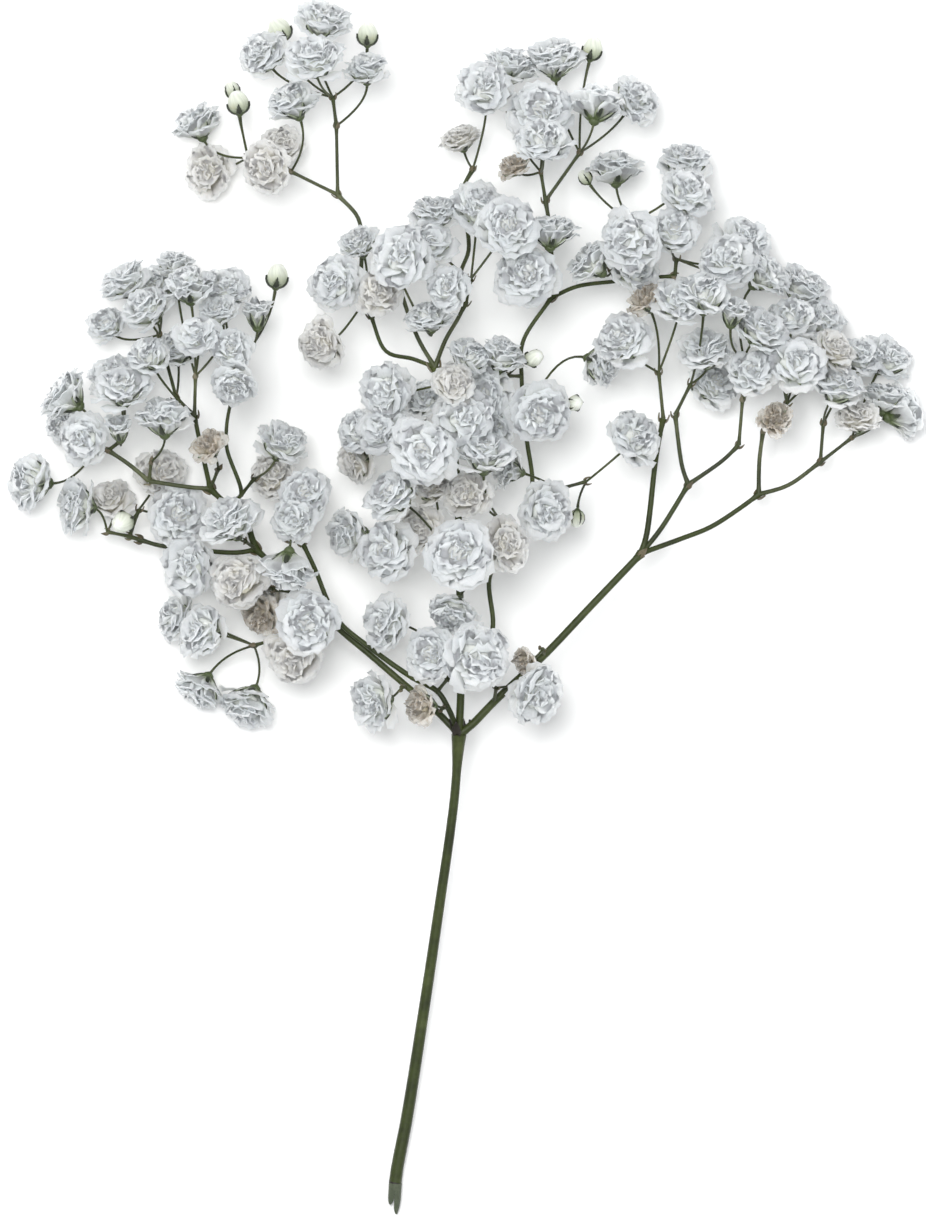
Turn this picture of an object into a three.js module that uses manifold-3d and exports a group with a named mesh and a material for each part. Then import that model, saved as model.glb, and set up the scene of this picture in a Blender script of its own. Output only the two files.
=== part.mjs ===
// A cut sprig of double-flowered gypsophila (baby's breath), lying on its back.
// Frame: millimetres. The sprig is laid out in plan with the main fork at x = 0, y = 0 and z up
// from the surface it lies on, and is then moved so that its box stands centred on the origin.
import * as THREE from 'three';
import { mergeVertices } from 'three/addons/utils/BufferGeometryUtils.js';
import Module from 'manifold-3d';

const wasm = await Module();
wasm.setup();

// ---- Driving sizes (mm) -------------------------------------------------------------------
const LENGTH_SCALE = 1;       // plan length of the sprig over the length it was drawn at
const WIDTH_SCALE = 1;        // plan width over the width it was drawn at
const HEIGHT_SCALE = 1;       // thickness of the lying spray over the drawn one
const HEAD_SCALE = 1;         // flower head diameters over the drawn ones
const STEM_SCALE = 1;         // stem diameters over the drawn ones
const GAP = 0.3;              // clear gap between neighbouring pieces
const LIMB_RADIUS = 0.34;     // the thicker twigs at the foot of a spray
const TWIG_RADIUS = 0.27;     // forked twigs that carry the flower stalks
const STALK_RADIUS = 0.2;     // the thread-like stalk below each flower
const FORK_SWELL = 1.45;      // radius of a fork's knot over its stem's radius
const KIN_REACH = 4.5;        // how far from its start a stem is kept clear of its parent and siblings
const STALK_END = 0.08;        // how far below a head's middle its stalk ends, as a share of its diameter
const STALK_BEND = 0.42;      // how early a stalk turns to follow its flower, as a share of its length

// ---- Profiles of the heads: [radius, height] as shares of the head's diameter ---------------
const PROFILES = {
  open: [[0, -0.42], [0.15, -0.24], [0.5, 0], [0.37, 0.19], [0, 0.27]],
  half: [[0, -0.6], [0.24, -0.42], [0.42, -0.05], [0.48, 0.28], [0, 0.36]],
  bud: [[0, -0.6], [0.34, -0.36], [0.5, 0], [0.34, 0.34], [0, 0.48]],
  old: [[0, -0.45], [0.18, -0.28], [0.5, -0.02], [0.38, 0.22], [0, 0.3]],
};
const SIDES = { open: 7, half: 6, bud: 5, old: 6 };

// ---- Plan of the main stem and branches: each starts at its parent's last point --------------
// name, parent, first and last radius, then the points that it passes through.
const BRANCHES = [
  ['main_stem', null, 1.02, 0.78, [
    [-11, -80, 1.1], [-10.6, -74, 1.7], [-8.7, -63.7, 2.9], [-6.6, -50.5, 4.7], [-3.6, -30.5, 7.9],
    [-0.8, -10.5, 11.4], [0, 0.4, 13]]],
  ['branch_centre', 'main_stem', 0.66, 0.55, [
    [0.3, 8, 14], [0.2, 20, 15.6], [0, 30, 16.8], [-0.4, 44, 18.6], [-2, 54, 19.5], [-4, 61.4, 20]]],
  ['branch_left', 'main_stem', 0.58, 0.48, [
    [-3.9, 4.4, 12.4], [-8.8, 8.5, 11.6], [-15, 13.8, 11], [-20, 18, 10.6], [-25.5, 23.7, 10.6],
    [-33.8, 31.2, 11]]],
  ['branch_left_inner', 'main_stem', 0.48, 0.38, [
    [-1.9, 5, 15], [-3.6, 7.6, 15.2], [-7.8, 9.9, 14.6], [-15, 15, 13.4], [-19.8, 19, 13],
    [-21.8, 22.5, 13], [-24, 28, 13.4], [-26.1, 32.4, 14]]],
  ['branch_right', 'main_stem', 0.68, 0.58, [
    [2, 1.9, 13.2], [5.8, 5.8, 13.6], [9.2, 9, 13.6], [14.2, 13.6, 13.2], [22, 21.8, 12.4],
    [30.4, 30.6, 12]]],
  ['branch_inner_right', 'branch_centre:1', 0.42, 0.34, [
    [3.5, 13, 14.2], [5.6, 18, 13.6], [5.2, 27, 13.4], [9.4, 32.4, 13.6], [11.9, 38.4, 13.8],
    [12.2, 43, 14.2], [11.2, 50, 15], [10.4, 60, 16.4], [10.6, 65.6, 17], [15.3, 73, 17.6]]],
  ['branch_left_far', 'branch_left', 0.42, 0.36, [
    [-37, 30.7, 10.6], [-45, 31.3, 9.6], [-50, 31.9, 9], [-53.4, 32.9, 8.6]]],
  ['branch_left_middle', 'branch_left', 0.55, 0.46, [
    [-34.6, 33.4, 11.6], [-35.6, 36.4, 12.2], [-39.2, 39.2, 12.6], [-41.4, 41.3, 12.8]]],
  ['branch_left_tall', 'branch_left_middle:2', 0.38, 0.28, [
    [-36.3, 40.2, 14.4], [-38.6, 48, 15.6], [-38.6, 52, 16], [-37.8, 56.4, 16.6]]],
  ['branch_left_high', 'branch_left_middle', 0.42, 0.36, [
    [-42.2, 44.9, 13.6], [-43.4, 50.4, 14.6], [-44, 53.5, 15]]],
  ['branch_right_upright', 'branch_right', 0.5, 0.42, [
    [31.3, 34, 12.4], [32.6, 45, 13.4], [33.2, 49, 13.8], [34, 53, 14.2]]],
  ['branch_right_middle', 'branch_right', 0.44, 0.4, [
    [33.6, 34.6, 11.6], [38.2, 42, 11.4]]],
  ['branch_right_low', 'branch_right', 0.44, 0.4, [
    [37, 33, 10.8], [42, 35, 10], [47, 38.2, 9.4], [50, 40.4, 9]]],
  ['branch_upper_side', 'branch_centre', 0.36, 0.32, [
    [-7.6, 62.8, 19], [-12.1, 64.1, 17.6], [-14.7, 70.2, 16.6]]],
  ['branch_upper_right', 'branch_inner_right', 0.36, 0.32, [
    [19.6, 74.9, 16.6], [26, 75.8, 15.4], [31, 76.4, 14.6], [35.9, 76.7, 14]]],
];

// ---- Plan of the flower sprays ----------------------------------------------------------------
// name, the branch (and which of its points, the last if none) that it grows from, twigs by letter
// with the joint that each grows from and the points to its own joint (a capital is a thicker
// twig), and heads:
// [joint, x, y, z of the head's middle, compass heading, lift above the surface, diameter, kind].
// A heading of 0 faces +X and 90 faces +Y; a lift of 90 faces straight up.
const SPRAYS = [
  ['spray_top_left_crest', 'branch_upper_side', {
    A: ['', [-16.2, 76, 14.6], [-16.2, 82, 13.4], [-16.8, 86.4, 13], [-20.2, 90.3, 12.6]],
    b: ['A', [-20.4, 101.7, 14]], c: ['b', [-21, 106.4, 15]] }, [
    ['c', -22.5, 119.3, 17, 75, 30, 8.5, 'open'], ['c', -24, 112.5, 25, 100, 45, 9, 'open'],
    ['c', -15.2, 117, 12, 88, 10, 4, 'bud'], ['b', -15.5, 111.3, 17, 95, 30, 7, 'open'],
    ['c', -32.5, 113.7, 16, 120, 45, 8, 'open'], ['c', -30, 117.8, 10, 108, 10, 4.3, 'bud']]],
  ['spray_top_left_tip', 'spray_top_left_crest:A', {
    a: ['', [-28, 94.2, 11]], b: ['a', [-35.2, 96.6, 9]] }, [
    ['a', -27.7, 106, 20, 112, 20, 8.5, 'open'], ['a', -32, 94.7, 17.5, 200, 70, 8, 'open'],
    ['a', -29.6, 98.6, 6, 100, 60, 7.5, 'open'], ['b', -44, 103, 5.4, 112, 12, 8, 'open'],
    ['b', -42, 94.3, 4.2, 190, 70, 8, 'open'], ['b', -37.9, 107.8, 9, 105, 8, 3.2, 'bud'],
    ['b', -36.8, 105.6, 12, 98, 12, 4, 'bud']]],
  ['spray_top_middle', 'branch_inner_right', {
    A: ['', [15.4, 78, 15.8], [15.2, 84, 14.8], [14.4, 89.2, 14.6]], b: ['A', [13.6, 94, 15.6]] }, [
    ['b', 14, 99, 27, 90, 45, 9, 'open'], ['b', 13.6, 104, 19.6, 100, 70, 10, 'open'],
    ['b', 8.4, 112.2, 11, 80, 15, 8.5, 'open'], ['b', 9, 95.2, 18, 130, 40, 5.8, 'old']]],
  ['spray_top_right', 'spray_top_middle:A', { a: ['', [20.1, 97.2, 15]] }, [
    ['a', 16, 113.5, 11, 92, 15, 9, 'open'], ['a', 22.3, 114.7, 9.5, 75, 10, 4, 'bud'],
    ['a', 23, 105.5, 19, 80, -15, 8.5, 'open'], ['a', 29.3, 106.5, 11, 58, 40, 8.2, 'open']]],
  ['spray_upper_crown', 'branch_centre', {
    A: ['', [-2.2, 66, 20.6], [-0.1, 69.6, 20.8], [1.1, 72, 21]], b: ['A', [2, 76, 23]] }, [
    ['b', 8, 84.5, 29, 60, 65, 10, 'open'], ['b', 3.2, 88.2, 20.5, 85, 45, 9.5, 'open'],
    ['b', -4, 87.4, 19, 85, 30, 7.5, 'open'], ['b', -1.8, 74.4, 30, 120, 70, 7, 'open']]],
  ['spray_top_inner', 'spray_upper_crown:A', {
    A: ['', [0.3, 77, 17.6], [1.6, 81, 15.4], [1.2, 86, 13.8], [0.6, 91, 13.4], [2.3, 94.5, 14]] }, [
    ['A', 4.3, 108, 18, 95, 50, 9.5, 'open'], ['A', 0.2, 100, 11, 105, 25, 6, 'open']]],
  ['spray_upper_right_top', 'branch_upper_right:2', {
    a: ['', [28.2, 81, 11.6], [28.6, 85.8, 11.6]] }, [
    ['a', 26, 95.3, 12, 93, 5, 8, 'open'], ['a', 21, 93.2, 11.5, 125, 10, 2.6, 'bud'],
    ['a', 38, 90.5, 18, 70, 55, 8.5, 'open'], ['a', 37.8, 96.2, 10, 82, 35, 8, 'open']]],
  ['spray_upper_right', 'branch_upper_right', { a: ['', [36.2, 79.6, 13.4]] }, [
    ['a', 35.6, 84, 21, 85, 45, 8.5, 'open'], ['a', 44.6, 79.2, 20, 60, 65, 9, 'open'],
    ['a', 47.5, 83, 11, 60, 40, 9.5, 'open']]],
  ['spray_upper_right_inner', 'branch_upper_right:1', { a: ['', [25.4, 77.6, 17]] }, [
    ['a', 28, 82.6, 26, 120, 65, 10, 'open'], ['a', 21.6, 79.2, 20.5, 135, 10, 8, 'open'],
    ['a', 29.4, 77.6, 19, 50, 60, 7.5, 'open']]],
  ['spray_upper_middle', 'branch_inner_right', { a: ['', [13.4, 75.4, 19.4]] }, [
    ['a', 11.3, 76.4, 25.4, 100, 75, 9.5, 'open'], ['a', 15.2, 84.4, 22, 88, 0, 8, 'open']]],
  ['spray_upper_front', 'branch_centre', {
    A: ['', [-6.8, 66.2, 20.4], [-9.5, 73.8, 20.8], [-9.6, 75.6, 22]] }, [
    ['A', -9.6, 79.6, 31, 110, 65, 10, 'open'], ['A', -5.2, 82, 23.6, 80, 50, 8.5, 'open'],
    ['A', -5, 69.8, 27, 100, 30, 7, 'open']]],
  ['spray_upper_left', 'branch_upper_side', { a: ['', [-15.4, 73, 18.6]] }, [
    ['a', -23, 65.2, 19, 200, 60, 8, 'open'],
    ['a', -20.4, 75.4, 23, 160, 65, 9.2, 'open'], ['a', -16.6, 82.2, 20, 110, 30, 6.4, 'open'],
    ['a', -13.2, 73.8, 25.6, 90, 70, 7.4, 'open']]],
  ['spray_centre_top', 'branch_centre:4', { a: ['', [-3.4, 58.4, 23.4]] }, [
    ['a', -12, 57.3, 25, 170, 70, 8.8, 'open'], ['a', -0.8, 58.4, 31, 60, 70, 7, 'open'],
    ['a', 1.8, 63.4, 25.6, 62, 25, 7.5, 'open']]],
  ['spray_centre_right', 'branch_inner_right:7', { a: ['', [8, 60, 19]] }, [
    ['a', 4.2, 56.8, 22, 200, 70, 8.6, 'open'], ['a', 7.4, 63.6, 23.4, 70, 15, 8, 'open'],
    ['a', 12.4, 62.9, 22, 20, 50, 3.6, 'bud']]],
  ['spray_centre_heart', 'branch_centre:3', { a: ['', [-1.6, 47.4, 23.4]], b: ['a', [-8, 46.6, 17.4]] }, [
    ['a', -6, 47.3, 35, 150, 82, 10, 'open'], ['a', 1, 53, 29.4, 60, 75, 9.5, 'open'],
    ['a', -12.4, 50.8, 25.6, 150, 60, 8.4, 'open'], ['b', -16.4, 51, 19.4, 150, 55, 7.4, 'open'],
    ['b', -17.4, 46, 13, 200, 30, 7, 'open'], ['b', -5.6, 56.4, 15.4, 100, 60, 6.4, 'open']]],
  ['spray_centre_low_left', 'branch_centre:2', { a: ['', [-3.2, 32.6, 19.4]], b: ['a', [-4.8, 33, 14.6]] }, [
    ['a', -11.2, 40.3, 28.6, 145, 38, 9, 'open'], ['a', -12, 31, 24.6, 175, 55, 9, 'open'],
    ['a', -4.6, 41.8, 22.6, 110, 50, 7, 'open'], ['b', -18.8, 33.8, 13.6, 186, 30, 8.6, 'open'],
    ['b', -6.4, 34.6, 19.6, 160, 70, 7.2, 'open']]],
  ['spray_inner_low', 'branch_inner_right:2', { a: ['', [4, 28, 17.6]] }, [
    ['a', 0, 30.5, 33, 150, 82, 10.4, 'open'], ['a', 7.8, 32.2, 26.6, 40, 70, 8.2, 'open'],
    ['a', -1, 20.4, 21.6, 248, 35, 8, 'open']]],
  ['spray_inner_middle', 'branch_inner_right:3', { a: ['', [7.6, 35.4, 17.6]] }, [
    ['a', 4.2, 47.4, 29.6, 88, 25, 9.2, 'open'], ['a', 1.2, 40.2, 26.4, 150, 70, 7.2, 'open']]],
  ['spray_side_twig', 'branch_inner_right:4', {
    a: ['', [14.4, 39.6, 15.4], [16.5, 41.2, 16.4]], b: ['a', [21.2, 42.5, 17]] }, [
    ['a', 7.8, 44.6, 20, 165, 15, 7, 'open'], ['b', 29.5, 49.8, 20, 45, 55, 9.2, 'open'],
    ['b', 19.6, 36.4, 14, 265, 0, 3, 'bud'], ['a', 14.5, 37.4, 23, 330, 70, 8.8, 'open']]],
  ['spray_inner_upper', 'branch_inner_right:6', { a: ['', [11.6, 54, 19]] }, [
    ['a', 13.2, 53.8, 26.4, 300, 80, 9.6, 'open'], ['a', 19.2, 55.4, 22.6, 0, 60, 3.1, 'bud'],
    ['a', 24.2, 62, 15.6, 340, 20, 8, 'open'], ['a', 6, 51.4, 22, 210, 40, 6.4, 'open']]],
  ['spray_crown_front', 'branch_left_inner:1', { a: ['', [-1.8, 9.8, 18]] }, [
    ['a', 3, 13, 27, 330, 78, 10.4, 'open'], ['a', -4.6, 13.8, 23, 160, 65, 8.8, 'open']]],
  ['flower_crown_left', 'branch_left:1', { a: ['', [-9.6, 8.2, 13.4]] }, [
    ['a', -14.5, 5.6, 15.6, 195, 35, 9, 'open']]],
  ['flower_crown_cream', 'branch_left_inner:0', { a: ['', [-2.8, 4.8, 17.4]] }, [
    ['a', -6.8, 5, 19, 185, 30, 7.4, 'old']]],
  ['flower_crown_shade', 'branch_centre:0', { a: ['', [-3.4, 15.4, 15.4]] }, [
    ['a', -12.2, 19, 18, 175, 50, 8.4, 'open']]],
  ['flower_right_node', 'branch_right:1', { a: ['', [6.2, 8.2, 16.8]] }, [
    ['a', 13, 7.2, 21, 320, 65, 9, 'open']]],
  ['flower_right_old', 'branch_right:3', { a: ['', [13.9, 14.6, 16.4]] }, [
    ['a', 10.7, 12.3, 17.6, 205, 35, 5.4, 'old']]],
  ['spray_lower_left_hang', 'branch_left_inner', { a: ['', [-28.2, 32.8, 15]] }, [
    ['a', -28.6, 27.2, 23.4, 262, -5, 9.2, 'open'], ['a', -25.6, 40.4, 19.4, 100, 62, 8.6, 'open'],
    ['a', -27.4, 36, 22.6, 160, 75, 7.4, 'open']]],
  ['spray_lower_left_big', 'branch_left:3', { a: ['', [-24.8, 18, 12.8]] }, [
    ['a', -25.2, 19, 23.6, 200, 82, 9.8, 'open'], ['a', -27.4, 13.2, 16.4, 250, 70, 8.2, 'open'],
    ['a', -31.5, 24, 8, 170, 60, 6.2, 'open']]],
  ['spray_lower_left', 'spray_lower_left_big:a', { a: ['', [-34.2, 15.2, 10]] }, [
    ['a', -43, 17.6, 13.6, 170, 40, 9, 'open'], ['a', -47.6, 20, 6, 165, 20, 8, 'open'],
    ['a', -43.6, 7.4, 5, 238, 10, 8, 'open'], ['a', -35.6, 4.8, 5, 245, 20, 9, 'open']]],
  ['spray_left_inner', 'branch_left:4', { a: ['', [-31, 24.6, 14]] }, [
    ['a', -36.6, 26, 19, 190, 70, 9, 'open'], ['a', -33.2, 20.2, 12, 220, 60, 7.4, 'old'],
    ['a', -45, 28.4, 13.6, 170, 65, 8.8, 'open']]],
  ['spray_left_fork', 'branch_left', { a: ['', [-35.6, 32.6, 15.4]] }, [
    ['a', -38.2, 36.2, 21, 118, 35, 9.4, 'open']]],
  ['flower_left_shade', 'branch_left_inner', { a: ['', [-27.2, 36.4, 12.4]] }, [
    ['a', -31.2, 43.4, 9.6, 95, 60, 7, 'open']]],
  ['spray_left_far', 'branch_left_far', {
    d: ['', [-55, 33.4, 8.2]], a: ['d', [-53.4, 37.9, 9]], b: ['d', [-58.8, 34.2, 6.6]] }, [
    ['a', -46.8, 37, 10, 40, 80, 9.6, 'open'], ['a', -56, 35.7, 13, 200, 60, 4.2, 'bud'],
    ['a', -49.6, 44, 5.6, 60, 55, 7.6, 'open'], ['b', -58.2, 39.8, 4.4, 100, 50, 7, 'open'],
    ['b', -64.2, 38.6, 9.6, 172, 25, 8.4, 'open']]],
  ['spray_left_front', 'branch_left_middle', {
    A: ['', [-45, 41.6, 13], [-51.6, 42.6, 13]], b: ['A', [-51.2, 45.8, 15.4]] }, [
    ['b', -49, 53.6, 20, 93, 15, 8.8, 'open']]],
  ['spray_left_edge', 'spray_left_front:A', {
    A: ['', [-55, 45.4, 13], [-58.4, 47.7, 13]], b: ['A', [-60.6, 48, 12.4]], c: ['A', [-56.4, 49.2, 14]] }, [
    ['b', -72, 42.6, 8, 175, 25, 9.4, 'open'], ['b', -66, 57, 14, 145, 0, 8.6, 'open'],
    ['b', -62.4, 49.6, 18.4, 190, 70, 8.2, 'open'], ['b', -66, 52, 5, 170, 40, 7.4, 'open'],
    ['c', -56, 58.2, 20, 98, 35, 8.6, 'open'], ['c', -57.8, 60.4, 11, 110, 30, 8, 'open'],
    ['c', -56.4, 51.4, 19.6, 95, 30, 6, 'half']]],
  ['spray_left_middle', 'branch_left_high', { a: ['', [-47, 56.4, 15.6]], b: ['a', [-50, 67, 10.4]] }, [
    ['a', -51.5, 63.6, 20, 112, 40, 7.2, 'open'], ['a', -47, 64.8, 13, 95, 35, 7.2, 'open'],
    ['b', -52, 71.6, 16, 125, 35, 8.2, 'open'], ['b', -59, 68.8, 8, 130, 45, 6.4, 'open'],
    ['b', -56, 76.2, 9, 122, 20, 8, 'open'], ['b', -50.6, 76, 4.4, 100, 30, 7.4, 'open']]],
  ['spray_left_upper', 'branch_left_high', { a: ['', [-43.8, 60, 16.4]] }, [
    ['a', -43.3, 66.6, 25, 95, 65, 7.4, 'open'], ['a', -45, 75.6, 17, 98, 20, 8.5, 'open'],
    ['a', -40, 70.8, 19, 110, 35, 6.2, 'open'], ['a', -47.4, 79, 10, 95, 10, 6.6, 'open']]],
  ['spray_left_tall', 'branch_left_tall', { a: ['', [-37.2, 61.6, 18]] }, [
    ['a', -37.4, 58.4, 26, 250, 55, 6.8, 'open'],
    ['a', -37.6, 64.4, 24.6, 100, 65, 7, 'open'], ['a', -38.6, 74.8, 13, 80, 55, 7.2, 'open'],
    ['a', -33.6, 70.6, 16, 92, 10, 6.8, 'half'], ['a', -30.3, 76.7, 12, 82, 10, 4.2, 'bud']]],
  ['flower_left_old', 'branch_left_middle', { a: ['', [-40, 44.6, 16.6]] }, [
    ['a', -41.8, 48.6, 20.6, 125, 45, 6.8, 'old']]],
  ['flower_left_side', 'branch_left_tall:0', { a: ['', [-34, 43, 16.4]] }, [
    ['a', -29.4, 49.4, 13, 70, 30, 8.4, 'open']]],
  ['spray_right_upright', 'branch_right_upright', { a: ['', [33.2, 60.6, 16.4]] }, [
    ['a', 27.4, 66, 24, 120, 55, 9.4, 'open'], ['a', 30.6, 73, 21.4, 118, 30, 6.8, 'old'],
    ['a', 36.6, 72.4, 25, 85, 60, 8.2, 'open']]],
  ['spray_right_a', 'branch_right_middle', {
    A: ['', [37.2, 45, 11.6], [36, 53.6, 12]], b: ['A', [38.6, 58.8, 13]] }, [
    ['b', 41, 64.6, 17.6, 95, 40, 9, 'open'], ['b', 40.6, 73.8, 26, 88, 30, 9.2, 'open'],
    ['b', 42.6, 59, 7, 40, 50, 8, 'open']]],
  ['spray_right_b', 'branch_right_middle', {
    A: ['', [44, 46.1, 12], [46.6, 48.6, 12.4]], b: ['A', [47.2, 56.2, 14]], c: ['b', [47.4, 63, 15]] }, [
    ['c', 50.4, 68, 20.6, 55, 35, 8.4, 'open'], ['c', 45.2, 70.6, 25, 85, 20, 6.4, 'half'],
    ['b', 48.6, 60.6, 21, 100, 60, 7.6, 'open'], ['c', 51.2, 77.4, 14, 45, 20, 8.4, 'open']]],
  ['spray_right_c', 'branch_right_low', {
    A: ['', [50.1, 46, 9.6], [50.7, 51, 10.4]], b: ['A', [54.6, 55.4, 12]] }, [
    ['b', 56, 62, 21, 60, 62, 9.6, 'open'], ['b', 55.8, 70, 13.4, 80, 45, 8.2, 'open'],
    ['b', 57.6, 75.6, 6, 62, 20, 8.2, 'open'], ['b', 60.8, 69.8, 8, 60, 40, 7.4, 'open'],
    ['A', 52.6, 52.9, 19, 60, 70, 6.2, 'old'], ['b', 62.6, 64.6, 15, 55, 45, 6.8, 'open']]],
  ['spray_right_tip', 'branch_right_low', {
    A: ['', [55, 42, 8.6], [60.3, 45.8, 8.2]], b: ['A', [60.8, 52.3, 9]], c: ['A', [65.6, 49.9, 8.3]] }, [
    ['b', 63.2, 58.6, 16, 62, 30, 8.2, 'open'], ['b', 67, 63.6, 7.4, 60, 40, 8, 'open'],
    ['c', 66.4, 53.4, 13, 92, 35, 7.2, 'open'], ['c', 71.2, 57, 7, 80, 10, 7.2, 'open'],
    ['c', 71.6, 63.8, 4.2, 62, 30, 8.4, 'open'], ['c', 74.4, 54.4, 5, 22, -25, 8.4, 'open']]],
];

// ---- Geometry -----------------------------------------------------------------------------------
const UP = new THREE.Vector3(0, 1, 0);
const place = ([x, y, z]) => new THREE.Vector3(x * WIDTH_SCALE, y * LENGTH_SCALE, z * HEIGHT_SCALE);

function toSolid(geometry) {
  const bare = geometry.index ? geometry.toNonIndexed() : geometry.clone();
  bare.deleteAttribute('normal');
  bare.deleteAttribute('uv');
  const merged = mergeVertices(bare, 1e-4);
  const vertProperties = merged.getAttribute('position').array;
  const triVerts = new Uint32Array(merged.index.array);
  return new wasm.Manifold(new wasm.Mesh({ numProp: 3, vertProperties, triVerts }));
}

// A tapered stem: a many-sided section swept along the curve, drawn in towards it step by step.
function stemSolid(stem, extra = 0) {
  const section = new THREE.Shape();
  const radius = stem.radii[0] * STEM_SCALE + extra;
  for (let i = 0; i < stem.sides; i += 1) {
    const angle = (2 * Math.PI * i) / stem.sides;
    const point = [radius * Math.cos(angle), radius * Math.sin(angle)];
    if (i === 0) section.moveTo(...point);
    else section.lineTo(...point);
  }
  const geometry = new THREE.ExtrudeGeometry(section, {
    steps: stem.steps, bevelEnabled: false, extrudePath: stem.curve,
  });
  const stations = stem.curve.getSpacedPoints(stem.steps);
  const position = geometry.getAttribute('position');
  const vertex = new THREE.Vector3();
  for (let i = 0; i < position.count; i += 1) {
    vertex.fromBufferAttribute(position, i);
    const distances = stations.map((station) => station.distanceToSquared(vertex));
    const nearest = distances.indexOf(Math.min(...distances));
    const share = nearest / stem.steps;
    const here = THREE.MathUtils.lerp(stem.radii[0], stem.radii[1], share) * STEM_SCALE + extra;
    vertex.sub(stations[nearest]).multiplyScalar(here / radius).add(stations[nearest]);
    position.setXYZ(i, vertex.x, vertex.y, vertex.z);
  }
  return toSolid(geometry);
}

// The knot at a fork: a small ball on the end of the stem.
function knotSolid(stem, extra = 0) {
  const radius = stem.radii[1] * STEM_SCALE * FORK_SWELL + extra;
  const end = stem.curve.getPoint(1);
  return toSolid(new THREE.OctahedronGeometry(radius * 1.2, 0).translate(end.x, end.y, end.z));
}

function headSolid(head) {
  const outline = PROFILES[head.kind].map(([r, h]) => new THREE.Vector2(r * head.size, h * head.size));
  const geometry = new THREE.LatheGeometry(outline, SIDES[head.kind]);
  geometry.applyQuaternion(new THREE.Quaternion().setFromUnitVectors(UP, head.facing));
  geometry.translate(head.middle.x, head.middle.y, head.middle.z);
  return toSolid(geometry);
}

// A block whose near face is the plane through a point, standing on the side that normal points to.
function blockBeyond(point, normal, side) {
  const geometry = new THREE.BoxGeometry(side, side, side).translate(0, side / 2, 0);
  geometry.applyQuaternion(new THREE.Quaternion().setFromUnitVectors(UP, normal));
  return toSolid(geometry.translate(point.x, point.y, point.z));
}

const largest = (bodies) => bodies.reduce((best, body) => (body.volume() > best.volume() ? body : best));

// Of what a head keeps after its neighbours have pressed into it, the part that its stalk holds.
function bodyOnStalk(solid, stalk) {
  return largest(solid.decompose().filter((body) => body.intersect(stalk).volume() > 0));
}

function makeStem(points, radii, sides, spacing, knot) {
  const curve = new THREE.CatmullRomCurve3(points);
  const steps = Math.max(points.length - 1, Math.round(curve.getLength() / spacing));
  return { curve, radii, sides, steps, knot };
}

// ---- Lay out every stem and head ---------------------------------------------------------------
const pieces = [];
const joints = {};            // named points that later pieces grow from
const pieceOf = {};

for (const [name, parent, first, last, points] of BRANCHES) {
  const path = points.map(place);
  if (parent) path.unshift(joints[parent]);
  path.forEach((point, i) => { joints[`${name}:${parent ? i - 1 : i}`] = point; });
  joints[name] = path[path.length - 1];
  const stem = makeStem(path, [first, last], 6, 12, true);
  const piece = { name, parent, stems: [stem], heads: [], wood: true };
  pieces.push(piece);
  pieceOf[name] = piece;
}

for (const [name, parent, forks, flowers] of SPRAYS) {
  const piece = { name, parent, stems: [], heads: [], wood: false };
  const local = { '': joints[parent] };
  for (const [letter, [from, ...points]] of Object.entries(forks)) {
    const path = [local[from], ...points.map(place)];
    local[letter] = path[path.length - 1];
    joints[`${name}:${letter}`] = local[letter];
    const radius = letter < 'a' ? LIMB_RADIUS : TWIG_RADIUS;
    piece.stems.push(makeStem(path, [radius, radius], 4, 40, true));
  }
  for (const [from, x, y, z, heading, lift, diameter, kind] of flowers) {
    const turn = THREE.MathUtils.degToRad(heading);
    const rise = THREE.MathUtils.degToRad(lift);
    const facing = new THREE.Vector3(
      Math.cos(turn) * Math.cos(rise), Math.sin(turn) * Math.cos(rise), Math.sin(rise));
    const size = diameter * HEAD_SCALE;
    const middle = place([x, y, z]);
    const base = facing.clone().multiplyScalar(size * (PROFILES[kind][0][1] + 0.06)).add(middle);
    const reach = base.distanceTo(local[from]) * STALK_BEND;
    const bend = base.clone().addScaledVector(facing, -reach);
    const hold = middle.clone().addScaledVector(facing, -size * STALK_END);
    const curve = new THREE.QuadraticBezierCurve3(local[from], bend, hold);
    const stalk = { curve, radii: [STALK_RADIUS, STALK_RADIUS], sides: 3, steps: 2, knot: false };
    piece.stems.push(stalk);
    piece.heads.push({ middle, facing, size, kind, stalk });
  }
  pieces.push(piece);
  pieceOf[name] = piece;
}

// ---- Build each piece --------------------------------------------------------------------------
const owner = (piece) => piece.parent && pieceOf[piece.parent.split(':')[0]];

// Where a piece leaves its parent or stands beside its siblings, its stems end a gap short of them.
function clearOfKin(solid, piece) {
  const parent = owner(piece);
  if (!parent) return solid;
  const older = pieces.slice(0, pieces.indexOf(piece));
  const kin = older.filter((other) => other === parent || owner(other) === parent);
  const start = piece.stems[0].curve.getPoint(0);
  const ball = toSolid(new THREE.IcosahedronGeometry(KIN_REACH, 1).translate(start.x, start.y, start.z));
  let clear = solid;
  for (const other of kin) {
    for (const stem of other.stems) {
      clear = clear.subtract(stemSolid(stem, GAP).intersect(ball));
      if (stem.knot) clear = clear.subtract(knotSolid(stem, GAP).intersect(ball));
    }
  }
  return largest(clear.decompose());
}

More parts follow.
